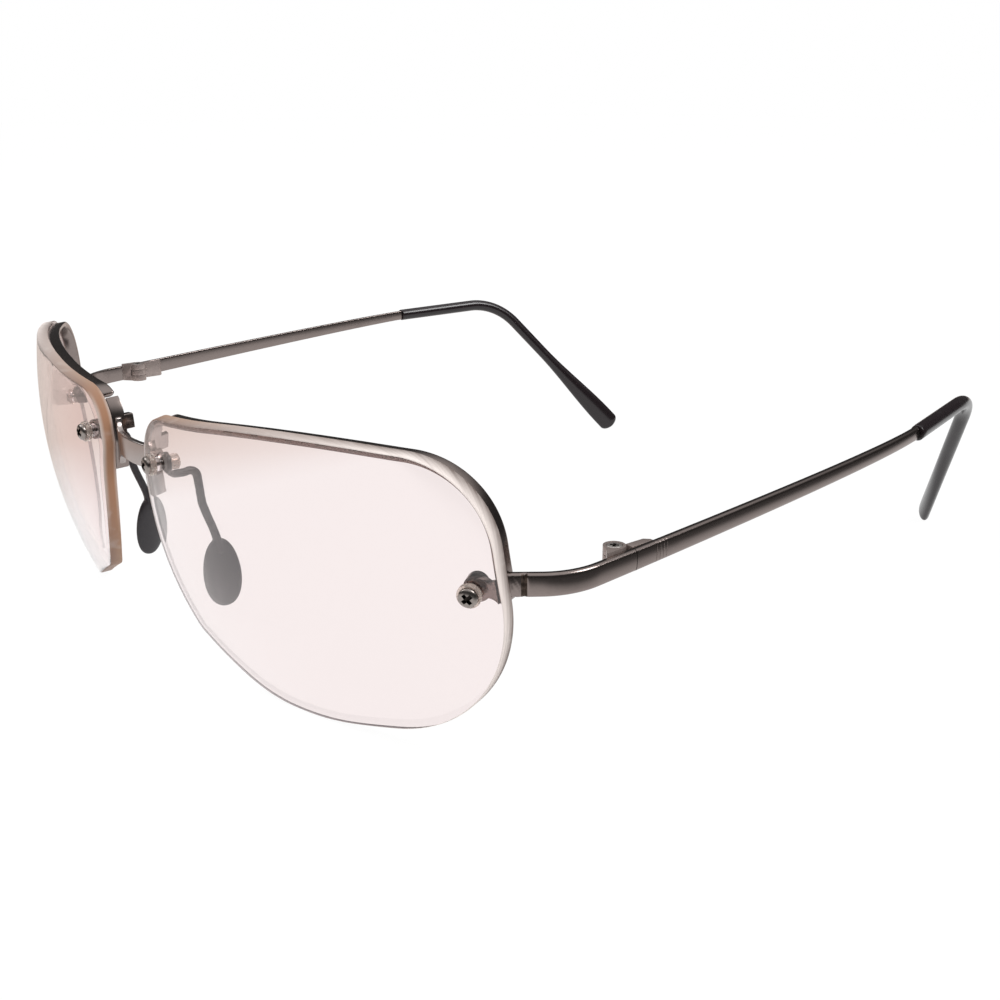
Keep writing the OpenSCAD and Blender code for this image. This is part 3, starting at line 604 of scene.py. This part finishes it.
looks = {name: solidMaterial(name, {**plainFinish, **own}) for name, own in finishes.items()}
looks["groundEdge"] = edgeMaterial("groundEdge", edgeTones)
looks.update({name: clearMaterial(name, values) for name, values in clears.items()})
print("materials made", len(looks))


# Lenses.
def lensSolid(name, inset=0.0, fromDepth=0.0, toDepth=lensSize["thick"], dense=True):
    # Rings from the middle of the front over the edge to the middle of the back. One that only
    # cuts is coarse and has no bevel.
    edge = [(inset, fromDepth), (inset, toDepth)]
    if dense:
        steps, bevel = lensSize["bevelSteps"], lensSize["bevel"]
        arc = [pi / 2 * k / steps for k in range(steps + 1)]
        eased = [(bevel * (1 - sin(a)), bevel * (1 - cos(a))) for a in arc]
        edge = [(inset + a, fromDepth + b) for a, b in eased]
        edge += [(inset + a, toDepth - b) for a, b in reversed(eased)]
    count = lensSize["rings"] if dense else lensSize["coarseRings"]
    shares = [1 - (1 - lensSize["centre"]) * k / count for k in range(1, count + 1)]
    rows = ([(*edge[0], s) for s in reversed(shares)] + [(*e, 1) for e in edge]
            + [(*edge[-1], s) for s in shares])
    rings = [[lensPoint(p.x * s, p.y * s, depth) for p in outline(away)]
             for away, depth, s in rows]
    made = skinRings(name, rings, 60)
    if dense:
        giveLooks(made, "lensPlastic", "groundEdge")
        sides = len(rings[0])
        for face in made.data.polygons[count * sides:(count + len(edge) - 1) * sides]:
            face.material_index = 1
    return made


def makeLens():
    made = lensSolid("lensLeft")
    radius = holeSize["diameter"] / 2
    for hole in (nasalHole, temporalHole):
        place = holeFrame(hole, lensSize["thick"] / 2)
        carve(made, turned("holeCutter", [(radius, end) for end in holeSize["drill"]], place),
              sharp=60)
    settlePair(made, "lens")


makeLens()
print("lenses made")

# Half rims behind the lenses.
barSize = {
    "height": 1.0, "depth": 1.95, "inset": 0.5, "endIn": 3.4, "endUp": 1.7, "round": 0.35,
    "cutFrom": -8, "cutTo": 9,
}


def rimStrip(name, fromInset, toInset, fromDepth, toDepth, keep, rounding):
    section = roundedSection((toInset - fromInset) / 2, (toDepth - fromDepth) / 2, rounding)
    middleInset, middleDepth = (fromInset + toInset) / 2, (fromDepth + toDepth) / 2
    lines = [outline(middleInset + a) for a, b in section]
    plain = outline(fromInset)
    kept = [k for k, p in enumerate(plain) if keep(p)]
    # The kept stretch runs once round the outline, so it is turned to start after its gap.
    gap = next((i for i in range(len(kept) - 1) if kept[i + 1] - kept[i] > 1), -1)
    kept = kept[gap + 1:] + kept[:gap + 1]
    rings = [[lensPoint(lines[j][k].x, lines[j][k].y, middleDepth + section[j][1])
              for j in range(len(section))] for k in kept]
    return skinRings(name, roundedEnds(rings, rounding * 1.2), sharp=50)


def keepBar(p):
    nasalStop = barSize["endIn"] - lensSize["width"] / 2
    return (p.x > nasalStop and p.y > holeSize["nasalUp"]) or (p.x > 0 and p.y > barSize["endUp"])


bar = rimStrip("browBarLeft", barSize["inset"], barSize["inset"] + barSize["height"],
               lensSize["thick"], lensSize["thick"] + barSize["depth"], keepBar, barSize["round"])
settlePair(bar, "brow_bar", "gunmetal")
print("half rims made")

# Endpieces and temples.
stripSection = {
    "round": 0.4, "innerRound": 0.12, "crown": 0.16, "innerCrown": 0.05, "roundSteps": 6,
    "sideParts": 8,
}


def flatFace(b):
    return 0.0


def stripRing(outer, way, height, z, dentAt=flatFace):
    # The outline of a strip: rounded edges and slightly crowned faces, the outer one dented
    # where asked.
    thick = templeSize["thick"]
    normal = Vector((-way.y, way.x))
    middle = Vector(outer) + normal * thick / 2
    ring = []
    soft, crisp = (roundedSection(thick / 2, height / 2, stripSection[size],
                                  stripSection["roundSteps"], stripSection["sideParts"])
                   for size in ("round", "innerRound"))
    for a, b in (p if p[0] > 0 else q for p, q in zip(soft, crisp)):
        rise = (2 * b / height) ** 2
        if a > 0:
            reach = a - stripSection["crown"] * rise - dentAt(b)
        else:
            reach = a + stripSection["innerCrown"] * rise
        ring.append(Vector((middle.x - normal.x * reach, middle.y - normal.y * reach, z + b)))
    return ring


# Where the endpiece meets the half rim: a groove and a stretch of uneven solder.
weldSize = {
    "grooveAt": 3.4, "grooveWidth": 0.42, "grooveDepth": 0.2, "roughFrom": 1.9, "roughTo": 3.1,
    "roughness": 0.035, "ripple": (23, 5, 11, 9), "seam": 0.3, "outside": -0.4,
}


def solderRipple(run, b):
    a, c, d, e = weldSize["ripple"]
    return 1 + sin(run * a + b * c) * sin(b * d - run * e)


def makeEndpiece():
    angle = radians(endSize["angle"])
    way = Vector((sin(angle), cos(angle)))
    outward = Vector((way.y, -way.x))
    start = Vector((lensCentre.x + edgeOffset.x, lensCentre.y + edgeOffset.y))
    turn = start + way * endSize["out"] / way.x
    stop = Vector((outerX, splitY))
    leadSteps, straightSteps = endSize["leadSteps"], endSize["straightSteps"]
    tailSteps = endSize["tailSteps"]
    lead = [start - way * templeSize["thick"] * (1 - k / leadSteps) for k in range(leadSteps)]
    bent = bendPoints(start, turn, stop, endSize["bend"], endSize["bendSteps"])
    straight = [mix(start, bent[0], k / straightSteps) for k in range(1, straightSteps)]
    tail = [mix(bent[-1], stop, k / tailSteps) for k in range(1, tailSteps + 1)]
    path = lead + [start] + straight + bent + tail
    rings, run = [], 0.0
    firstY = start.y - templeSize["thick"]
    for k, p in enumerate(path):
        ahead, behind = path[min(k + 1, len(path) - 1)], path[max(k - 1, 0)]
        run += (p - path[k - 1]).length if k else 0
        share = (p.y - firstY) / (splitY - firstY)
        off = abs(run - weldSize["grooveAt"]) / weldSize["grooveWidth"]
        groove = weldSize["grooveDepth"] * exp(-off * off * 2)
        soldered = weldSize["roughFrom"] < run < weldSize["roughTo"]
        solder = weldSize["roughness"] if soldered else 0

        def weldAt(b, run=run, groove=groove, solder=solder):
            return groove + solder * solderRipple(run, b)

        rings.append(stripRing(p, (ahead - behind).normalized(),
                               mix(endSize["height"], templeSize["height"], share),
                               mix(endZ, hingeZ, share), weldAt))
    made = skinRings("endpieceLeft", rings, 50)
    giveLooks(made, "gunmetal", "seam")
    for face in made.data.polygons:
        spot = face.center.xy / mm - start
        run = spot.dot(way) + templeSize["thick"]
        outside = spot.dot(outward) > weldSize["outside"]
        if outside and abs(run - weldSize["grooveAt"]) < weldSize["seam"]:
            face.material_index = 1
    # The strip's inner end is cut to the half rim and to the back of the lens.
    for name, inset, toDepth in (("insideBar", barSize["inset"], barSize["cutTo"]),
                                 ("insideLens", 0, lensSize["thick"])):
        carve(made, lensSolid(name, inset, barSize["cutFrom"], toDepth, dense=False), sharp=50)
    settlePair(made, "endpiece")


# Engraved lines near the hinge.
grooveSize = {
    "count": 4, "pitch": 0.6, "width": 0.16, "depth": 0.08, "start": 3.4, "clear": 0.3,
    "shoulder": 0.04, "wall": 0.05, "inside": 0.02,
}


def grooveDent(b):
    return grooveSize["depth"]


def makeTemple():
    frontY, endY = splitY + templeSize["splitGap"], hingeAt.y + templeSize["length"]
    start, stop = Vector((outerX, frontY)), Vector((outerX - templeSize["bow"], endY))
    pull = Vector((outerX, mix(frontY, endY, templeSize["pull"])))
    curve = [start, mix(start, pull, 2 / 3), mix(stop, pull, 2 / 3), stop]
    grooves = [frontY + grooveSize["start"] + i * grooveSize["pitch"]
               for i in range(grooveSize["count"])]
    stations, width = templeSize["stations"], grooveSize["width"]
    shoulder, wall, inside = grooveSize["shoulder"], grooveSize["wall"], grooveSize["inside"]
    wanted = [mix(frontY, endY, k / stations) for k in range(stations + 1)]
    for g in grooves:
        wanted = [y for y in wanted if abs(y - g - width / 2) > grooveSize["clear"]]
        wanted += [g - shoulder, g, g + wall, g + width - wall, g + width, g + width + shoulder]
    rings = []
    for y in sorted(wanted):
        # The place on the curve with this y, found by halving.
        low, high = 0.0, 1.0
        for _ in range(40):
            f = (low + high) / 2
            low, high = (f, high) if bezier(curve, f).y < y else (low, f)
        p, ahead = bezier(curve, f), bezier(curve, min(1, f + 0.002))
        behind = bezier(curve, max(0, f - 0.002))
        inGroove = any(g + inside < y < g + width - inside for g in grooves)
        share = (y - frontY) / (endY - frontY)
        rings.append(stripRing(p, (ahead - behind).normalized(),
                               mix(templeSize["height"], templeSize["endHeight"], share),
                               mix(hingeZ, hingeZ + templeSize["rise"], share),
                               grooveDent if inGroove else flatFace))
    settlePair(skinRings("templeLeft", rings, 50), "temple", "gunmetal",
               moving=True)


makeEndpiece()
makeTemple()
print("endpieces and temples made")

# Tips.
tipSize = {
    "straight": 24.4, "inward": 5.5, "rise": 1.15, "hookBack": 21.2, "hookIn": 18.6, "bend": 13.0,
    "sleeve": 2.45, "width": 4.7, "thick": 2.1, "round": 1.6, "widenFrom": 0.3, "widenOver": 0.65,
    "face": (0.78, 0.63, -0.03), "core": 1.1, "fit": 0.03, "coreShare": 0.6, "sides": 40,
    "lip": 0.16, "lipSteps": 4, "straightSteps": 14, "bendSteps": 26, "hookSteps": 32,
    "endStep": 6,
}


def makeTip():
    face = Vector(tipSize["face"]).normalized()
    start = Vector((outerX - templeSize["bow"] - templeSize["thick"] / 2,
                    hingeAt.y + templeSize["length"], hingeZ + templeSize["rise"]))
    corner = start + Vector((-tipSize["inward"], tipSize["straight"], tipSize["rise"]))
    hook = Vector((-tipSize["hookIn"], tipSize["hookBack"],
                   tipSize["width"] / 2 - corner.z)).normalized()
    side = hook.cross(face).normalized()
    # The rounded end stands on the same surface as the lenses.
    endRise = sqrt((2 * tipSize["round"] * hook.z) ** 2 + (tipSize["width"] * side.z) ** 2
                        + (tipSize["thick"] * face.z) ** 2) / 2
    end = Vector((corner.x - tipSize["hookIn"], corner.y + tipSize["hookBack"], endRise))
    bent = bendPoints(start, corner, end, tipSize["bend"], tipSize["bendSteps"])
    straightSteps, hookSteps = tipSize["straightSteps"], tipSize["hookSteps"]
    straightPart = [mix(start, bent[0], k / straightSteps) for k in range(straightSteps)]
    hooked = [mix(bent[-1], end, k / hookSteps) for k in range(1, hookSteps + 1)]
    line = straightPart + bent + hooked
    hookFirst = len(straightPart) + len(bent)

    def ring(centre, ahead, a, b):
        u = ahead.cross(face).normalized()
        return ellipse(centre, u * a, u.cross(ahead) * b, tipSize["sides"])

    def way(k):
        if k == 0:
            return Vector((0, 1, 0))
        return (line[min(k + 1, len(line) - 1)] - line[k - 1]).normalized()

    # Up the bore of the core wire, round the lip, and down the outside.
    radius, lip = tipSize["sleeve"] / 2, tipSize["lip"]
    boreRadius = tipSize["core"] / 2 + 2 * tipSize["fit"]
    coreLast = hookFirst + round(tipSize["coreShare"] * hookSteps) - 1
    rings = [ring(line[k], way(k), boreRadius, boreRadius) for k in range(coreLast, -1, -1)]
    for k in range(tipSize["lipSteps"] + 1):
        a = pi / 2 * k / tipSize["lipSteps"]
        inward = lip * (1 - sin(a))
        rings.append(ring(start + Vector((0, lip * (1 - cos(a)), 0)), way(0),
                          radius - inward, radius - inward))
    for k in range(1, len(line)):
        run = (k - hookFirst + 1) / hookSteps
        f = min(1, max(0, run - tipSize["widenFrom"]) / tipSize["widenOver"])
        f = f * f * (3 - 2 * f)
        rings.append(ring(line[k], way(k), mix(tipSize["sleeve"], tipSize["width"], f) / 2,
                          mix(tipSize["sleeve"], tipSize["thick"], f) / 2))
    for a in range(tipSize["endStep"], 90, tipSize["endStep"]):
        s, c = sin(radians(a)), cos(radians(a))
        rings.append(ring(end + hook * tipSize["round"] * s, hook, tipSize["width"] / 2 * c,
                          tipSize["thick"] / 2 * sqrt(c)))
    settlePair(skinRings("templeTipLeft", rings, 55), "temple_tip",
               "blackTip", moving=True)


makeTip()
print("tips made")

# Nose pads.
padSize = {
    "x": 13.0, "back": 5.9, "down": 6.7, "length": 10.2, "width": 5.4, "thick": 1.7, "flare": 8,
    "splay": 15, "arm": 1.2, "aside": 0.8, "eye": 0.6, "kneeBack": 2.3, "kneeDrop": 0.75,
    "shinBack": 0.5, "armClear": 0.15, "bends": ((0.8, 8), (1.5, 5), (1.1, 12)), "run": 3,
    "join": 0.3, "tailSteps": 14, "armSides": 20, "grow": 0.9, "growOver": 7, "leafStep": 6,
    "leafSides": 36, "leafPower": 0.88, "leafDrop": 0.08, "cap": 1.3, "capAcross": 2.2,
    "tab": 0.8, "tabEye": 3.0, "eyeSides": 48, "seat": 0.03, "bore": 1.26, "drill": (-2, 3),
    "voxel": 0.11, "calm": 0.5, "calmSteps": 14,
}


def makePad():
    eyeFront = lensSize["thick"] + padSize["tab"] + padSize["seat"]
    eyeBack = eyeFront + padSize["eye"]
    grip = lensCentre + radialOffset(*nasalHole, eyeFront + padSize["eye"] / 2)
    pad = Vector((padSize["x"], lensCentre.y + padSize["back"], lensCentre.z - padSize["down"]))
    flare, splay = radians(padSize["flare"]), radians(padSize["splay"])
    down = Vector((sin(flare), 0, -cos(flare)))
    aside = Vector((sin(splay), cos(splay), 0))
    back = (aside - down * aside.dot(down)).normalized()
    under = padSize["capAcross"] / 2 + padSize["arm"] / 2 + padSize["armClear"]
    drop = sqrt(under ** 2 - padSize["aside"] ** 2)
    kneeBack = padSize["cap"] + padSize["kneeBack"]
    leave = grip + Vector((0, 0, -padSize["tabEye"] * 0.4))
    below = grip + Vector((padSize["aside"] * 0.6, padSize["eye"] / 2, -drop))
    clear = grip + Vector((padSize["aside"], padSize["eye"] + padSize["cap"], -drop))
    knee = grip + Vector((padSize["aside"], kneeBack, -drop * padSize["kneeDrop"]))
    shin = grip + Vector((padSize["aside"], kneeBack + padSize["shinBack"], -padSize["down"]))
    join = pad - down * padSize["length"] * padSize["join"]
    tail = [shin, mix(shin, join, 0.4), join - down * padSize["run"], join]
    arm, corners = [leave], (leave, below, clear, knee, shin)
    for k, (radius, steps) in enumerate(padSize["bends"]):
        arm += bendPoints(*corners[k:k + 3], radius, steps)
    arm += [bezier(tail, k / padSize["tailSteps"]) for k in range(padSize["tailSteps"] + 1)]
    armRings = []
    for k, c in enumerate(arm):
        ahead = (arm[min(k + 1, len(arm) - 1)] - arm[max(k - 1, 0)]).normalized()
        u = ahead.cross(Vector((1, 0, 0))).normalized()
        # Flat where it leaves the eye, and wider where it runs into the pad.
        flat = mix(padSize["eye"], padSize["arm"], min(1, k / (padSize["bends"][0][1] + 1))) / 2
        nearPad = max(0, (k - len(arm) + padSize["growOver"]) / padSize["growOver"])
        wide = padSize["arm"] / 2 * (1 + padSize["grow"] * nearPad)
        armRings.append(ellipse(c, u * flat, u.cross(ahead) * wide, padSize["armSides"]))
    made = skinRings("nosePadLeft", armRings)
    leaf = []
    u = down.cross(back).normalized()
    w = u.cross(down)
    for angle in range(-87, 88, padSize["leafStep"]):
        s, c = sin(radians(angle)), cos(radians(angle))
        thick = padSize["thick"] / 2 * sqrt(c)
        wide = padSize["width"] / 2 * c ** padSize["leafPower"] * (1 + padSize["leafDrop"] * s)
        leaf.append(ellipse(pad + down * padSize["length"] / 2 * s, u * thick, w * wide,
                            padSize["leafSides"]))
    place, eyeRadius = holeFrame(nasalHole, eyeBack), padSize["tabEye"] / 2
    eye = turned("padEye", [(eyeRadius, 0), (eyeRadius, padSize["eye"])], place,
                 padSize["eyeSides"])
    carve(made, skinRings("padLeaf", leaf), "UNION")
    carve(made, eye, "UNION")
    # Arm, pad and eye are one moulding, so their joins are blended.
    again = made.modifiers.new("again", "REMESH")
    again.mode, again.voxel_size = "VOXEL", padSize["voxel"] * mm
    calm = made.modifiers.new("calm", "SMOOTH")
    calm.factor, calm.iterations = padSize["calm"], padSize["calmSteps"]
    settle(made, 180)
    bore = turned("boreCutter", [(padSize["bore"] / 2, end) for end in padSize["drill"]], place,
                  padSize["eyeSides"])
    carve(made, bore, sharp=60)
    settlePair(made, "nose_pad", "blackPad")


makePad()
print("nose pads made")

# Screws and their fittings.
screwSize = {
    "shank": 1.2, "head": 2.5, "headHeight": 0.75, "under": 0.94, "edge": 0.06, "wall": 0.34,
    "dome": 0.72, "domeSteps": 9, "crossWidth": 0.72, "crossDepth": 0.6, "flange": 3.1,
    "flangeEdge": 0.05, "flangeRound": 0.18, "nasalFlange": 0.8, "temporalFlange": 0.7,
    "fit": 0.03, "tab": 0.8, "eye": 0.6, "cap": 1.3, "capAcross": 2.2, "nut": 2.8,
    "nutLength": 2.3, "nutEdge": 0.08, "nutBore": 0.8, "nutWall": 0.72, "nutDome": 0.6,
    "nutSteps": 8, "held": 0.75,
}
# The cross recess: shares of its width and of the slot's, at its top and at its bottom.
crossSize = {"slot": 0.29, "turn": 38, "above": 0.4, "top": (0.56, 0.62), "bottom": (0.28, 0.34)}


def carveCross(made, place, width, depth, steel="steel"):
    # A Phillips recess: two crossed wedges that narrow downward, cut one after the other.
    slot = width * crossSize["slot"]
    levels = ((crossSize["above"], crossSize["top"]), (-depth, crossSize["bottom"]))
    # The walls of the cut cross get a near-black look: painted shade in the recess.
    giveLooks(made, steel, "recess")
    for quarter in (0, 90):
        turn = place @ Matrix.Rotation(radians(quarter + crossSize["turn"]), 4, "Z")
        cutter = skinRings("crossCutter", [
            [turn @ Vector((sx * width * long, sy * slot * thick, z))
             for sx, sy in ((1, 1), (-1, 1), (-1, -1), (1, -1))]
            for z, (long, thick) in levels])
        giveLooks(cutter, steel, "recess")
        for face in cutter.data.polygons:
            face.material_index = 1
        carve(made, cutter)


def makeScrew(name, node, hole, flange, length):
    place = holeFrame(hole, 0)
    shank, radius = screwSize["shank"] / 2, screwSize["head"] / 2
    height, wall, steps = screwSize["headHeight"], screwSize["wall"], screwSize["domeSteps"]
    profile = [(shank, -length), (shank, flange), (radius * screwSize["under"], flange),
               (radius, flange + screwSize["edge"]), (radius, flange + height * wall)]
    for k in range(1, steps):
        a = pi / 2 * k / steps
        profile.append((radius * cos(a) ** screwSize["dome"],
                        flange + height * mix(wall, 1, sin(a))))
    profile.append((0.08, flange + height))
    made = turned(name, profile, place)
    top = place @ Matrix.Translation((0, 0, flange + height))
    carveCross(made, top, screwSize["head"] * screwSize["crossWidth"],
               height * screwSize["crossDepth"])
    settlePair(made, node)


def makeBushing(name, node, hole, flange):
    outer = holeSize["diameter"] / 2 - screwSize["fit"]
    bore = screwSize["shank"] / 2 + screwSize["fit"]
    big, r, edge = screwSize["flange"] / 2, screwSize["flangeRound"], screwSize["flangeEdge"]
    base = screwSize["fit"] - lensSize["thick"]
    profile = [(outer, base), (outer, 0), (big - edge, 0), (big, edge), (big, flange - r)]
    arc = [pi / 2 * k / 5 for k in range(1, 6)]
    profile += [(big - r * (1 - cos(a)), flange - r + r * sin(a)) for a in arc]
    profile += [(bore, flange), (bore, base)]
    made = turned(name, profile, holeFrame(hole, 0), sharp=40, closed=True)
    settlePair(made, node, "clearFitting")


def makeNut(name, node, hole, depth, width, length, look):
    radius, bore = width / 2, screwSize["shank"] / 2 + screwSize["fit"]
    edge, wall, steps = screwSize["nutEdge"], screwSize["nutWall"], screwSize["nutSteps"]
    profile = [(bore, -length * screwSize["nutBore"]), (bore, 0), (radius - edge, 0),
               (radius, -edge)]
    for k in range(steps):
        a = pi / 2 * k / steps
        profile.append((radius * cos(a) ** screwSize["nutDome"],
                        -length * mix(wall, 1, sin(a))))
    profile.append((0.06, -length))
    settlePair(turned(name, profile, holeFrame(hole, depth)), node, look)


tabBack = lensSize["thick"] + screwSize["tab"]
capFront = tabBack + 2 * screwSize["fit"] + screwSize["eye"]
nutFront = tabBack + screwSize["fit"]
makeScrew("nasalScrewLeft", "nasal_screw", nasalHole, screwSize["nasalFlange"],
          capFront + screwSize["cap"] * screwSize["held"])
makeScrew("temporalScrewLeft", "temporal_screw", temporalHole, screwSize["temporalFlange"],
          nutFront + screwSize["nutLength"] * screwSize["held"])
makeBushing("nasalBushingLeft", "nasal_bushing", nasalHole, screwSize["nasalFlange"])
makeBushing("temporalBushingLeft", "temporal_bushing", temporalHole, screwSize["temporalFlange"])
makeNut("nasalCapLeft", "nasal_cap", nasalHole, capFront, screwSize["capAcross"],
        screwSize["cap"], "clearFitting")
makeNut("temporalNutLeft", "temporal_nut", temporalHole, nutFront, screwSize["nut"],
        screwSize["nutLength"], "darkPlating")
print("screws, bushings and nuts made")


# Hinge screws.
def makeHingeScrew():
    length, low = hingeSize["height"], hingeSize["headHeight"]
    pin, head = hingeSize["pin"] / 2, hingeSize["head"] / 2
    place = Matrix.Translation((hingeAt.x, hingeAt.y, hingeZ + length / 2))
    profile = [(pin - 0.06, -length), (pin, -length + 0.06), (pin, -low), (head - 0.04, -low),
               (head, -low + 0.04), (head, -0.12), (head - 0.05, -0.04), (head - 0.14, 0),
               (0.05, 0)]
    made = turned("hingeScrewLeft", profile, place)
    carveCross(made, place, hingeSize["head"] * hingeSize["crossWidth"],
               low * hingeSize["crossDepth"], "brightSteel")
    settlePair(made, "hinge_screw")


makeHingeScrew()

# Tabs, bridge, legs and hinge halves: the solids with their edges eased.
easedParts = {
    "brow_tab": ("browTabLeft", 0.16, "gunmetal", False),
    "nasal_tab": ("nasalTabLeft", 0.16, "gunmetal", False),
    "bridge_leg": ("bridgeLegLeft", 0.2, "bridgePlating", False),
    "hinge_front": ("hingeFrontLeft", 0.1, "hingePlating", False),
    "hinge_rear": ("hingeRearLeft", 0.1, "hingePlating", True),
}
for node, (name, width, look, moving) in easedParts.items():
    settlePair(softened(node + "_left", name, width), node, look, moving)
# The right leg gets the darker gunmetal look as painted shade for its darker reflections; both
# legs have the same plating.
bpy.data.objects["bridgeLegRight"].data.materials[0] = looks["gunmetal"]
bridge = softened("bridge", "bridgeBlade", 0.24, 4)
giveLooks(bridge, "bridgePlating")
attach(bridge, "front")
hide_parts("bridge")
print("eased parts made")

# The core wires stay as they are, inside the tips.
for side in sideSigns:
    giveLooks(frame["nodes"]["core_wire_" + side], "steel")

# Camera, floor and light.
cameraPlace = {
    "x": 170.7, "fromLens": -71.69, "z": 80.81, "azimuth": 50.43, "elevation": 18.28,
    "focal": 44.59, "sensor": 36, "clipStart": 5,
}
camera = bpy.data.objects.new("camera", bpy.data.cameras.new("camera"))
camera.data.sensor_width, camera.data.lens = cameraPlace["sensor"], cameraPlace["focal"]
camera.data.clip_start = cameraPlace["clipStart"] * mm
camera.location = Vector((cameraPlace["x"], lensCentre.y + cameraPlace["fromLens"],
                          cameraPlace["z"])) * mm
camera.rotation_euler = (radians(90 - cameraPlace["elevation"]), 0,
                         radians(cameraPlace["azimuth"]))
bpy.context.scene.collection.objects.link(camera)
bpy.context.scene.camera = camera

# Distances across the floor are in metres from the middle, toward the wearer's left.
floorSize = {
    "half": 3, "below": 0.05, "base": (0.82, 0.82, 0.82), "rough": 0.9, "specular": 0.1,
    "white": 1.03, "whiteShare": 0.93, "paper": (0.086, 0.152), "tones": (0.97, 0.03),
    "card": (-0.12, -0.058), "cardTone": (0.74, 0.64, 0.585),
}


def makeFloor():
    # White to the camera and through glass, with a faint part that takes the shadow. Gloss sees
    # white paper that ends beside the left temple with a dark table beyond it, and a beige card
    # on the other side.
    bm = bmesh.new()
    bmesh.ops.create_grid(bm, x_segments=2, y_segments=2, size=floorSize["half"])
    bmesh.ops.translate(bm, verts=bm.verts, vec=(0, 0, -floorSize["below"] * mm))
    floor = makeObject("floor", bm)
    material, tree, shader, place = startMaterial("paper")
    feed(tree, shader.inputs["Base Color"], floorSize["base"])
    shader.inputs["Roughness"].default_value = floorSize["rough"]
    shader.inputs["Specular IOR Level"].default_value = floorSize["specular"]
    light = addNode(tree, "LightPath", {})
    seen = calculate(tree, "MAXIMUM", light["Is Camera Ray"], light["Is Transmission Ray"])
    seen = calculate(tree, "MAXIMUM", seen, light["Is Glossy Ray"])
    leftward = splitVector(tree, place)["X"]
    paper = mapRange(tree, leftward, floorSize["paper"], floorSize["tones"], "SMOOTHSTEP")
    card = mapRange(tree, leftward, floorSize["card"])
    table = blendColours(tree, card, floorSize["cardTone"], paper)
    glow = addNode(tree, "Emission", {
        "Color": blendColours(tree, light["Is Glossy Ray"], (1, 1, 1), table),
        "Strength": floorSize["white"]})["Emission"]
    share = calculate(tree, "MULTIPLY", seen, floorSize["whiteShare"])
    showEither(tree, share, shader.outputs["BSDF"], glow)
    floor.data.materials.append(material)


# The room that gloss sees: its level from the horizon, at 0.5, to overhead.
worldTones = {
    "room": ((0.0, 0.05), (0.5, 0.05), (0.62, 0.25), (0.78, 0.75), (0.9, 0.95), (1.0, 1.0)),
    "onObject": 0.75,
}


def makeWorld():
    # White all round, but gloss finds a room that is dark at the horizon and pale overhead.
    world = bpy.data.worlds.new("studio")
    bpy.context.scene.world = world
    world.use_nodes = True
    tree = world.node_tree
    background = tree.nodes["Background"]
    place = addNode(tree, "TexCoord", {})["Generated"]
    room = colourRamp(tree, splitVector(tree, place)["Z"], greys(worldTones["room"]))
    light = addNode(tree, "LightPath", {})
    feed(tree, background.inputs["Color"],
         blendColours(tree, light["Is Glossy Ray"], (1, 1, 1), room))
    feed(tree, background.inputs["Strength"],
         mapRange(tree, light["Is Diffuse Ray"], target=(1, worldTones["onObject"])))


lamps = {
    "keyLamp": {"place": (0.5, 0.25, 0.75), "size": 0.35, "power": 4.0},
    "fillLamp": {"place": (-0.55, -0.45, 0.6), "size": 0.5, "power": 2.0},
}


def makeLamp(name, values):
    lamp = bpy.data.lights.new(name, "AREA")
    lamp.size, lamp.energy = values["size"], values["power"]
    made = bpy.data.objects.new(name, lamp)
    made.location = values["place"]
    made.rotation_euler = (-Vector(values["place"])).to_track_quat("-Z", "Y").to_euler()
    bpy.context.scene.collection.objects.link(made)


makeFloor()
makeWorld()
for name, values in lamps.items():
    makeLamp(name, values)
bpy.context.scene.view_settings.view_transform = "Standard"
print("camera and light set")
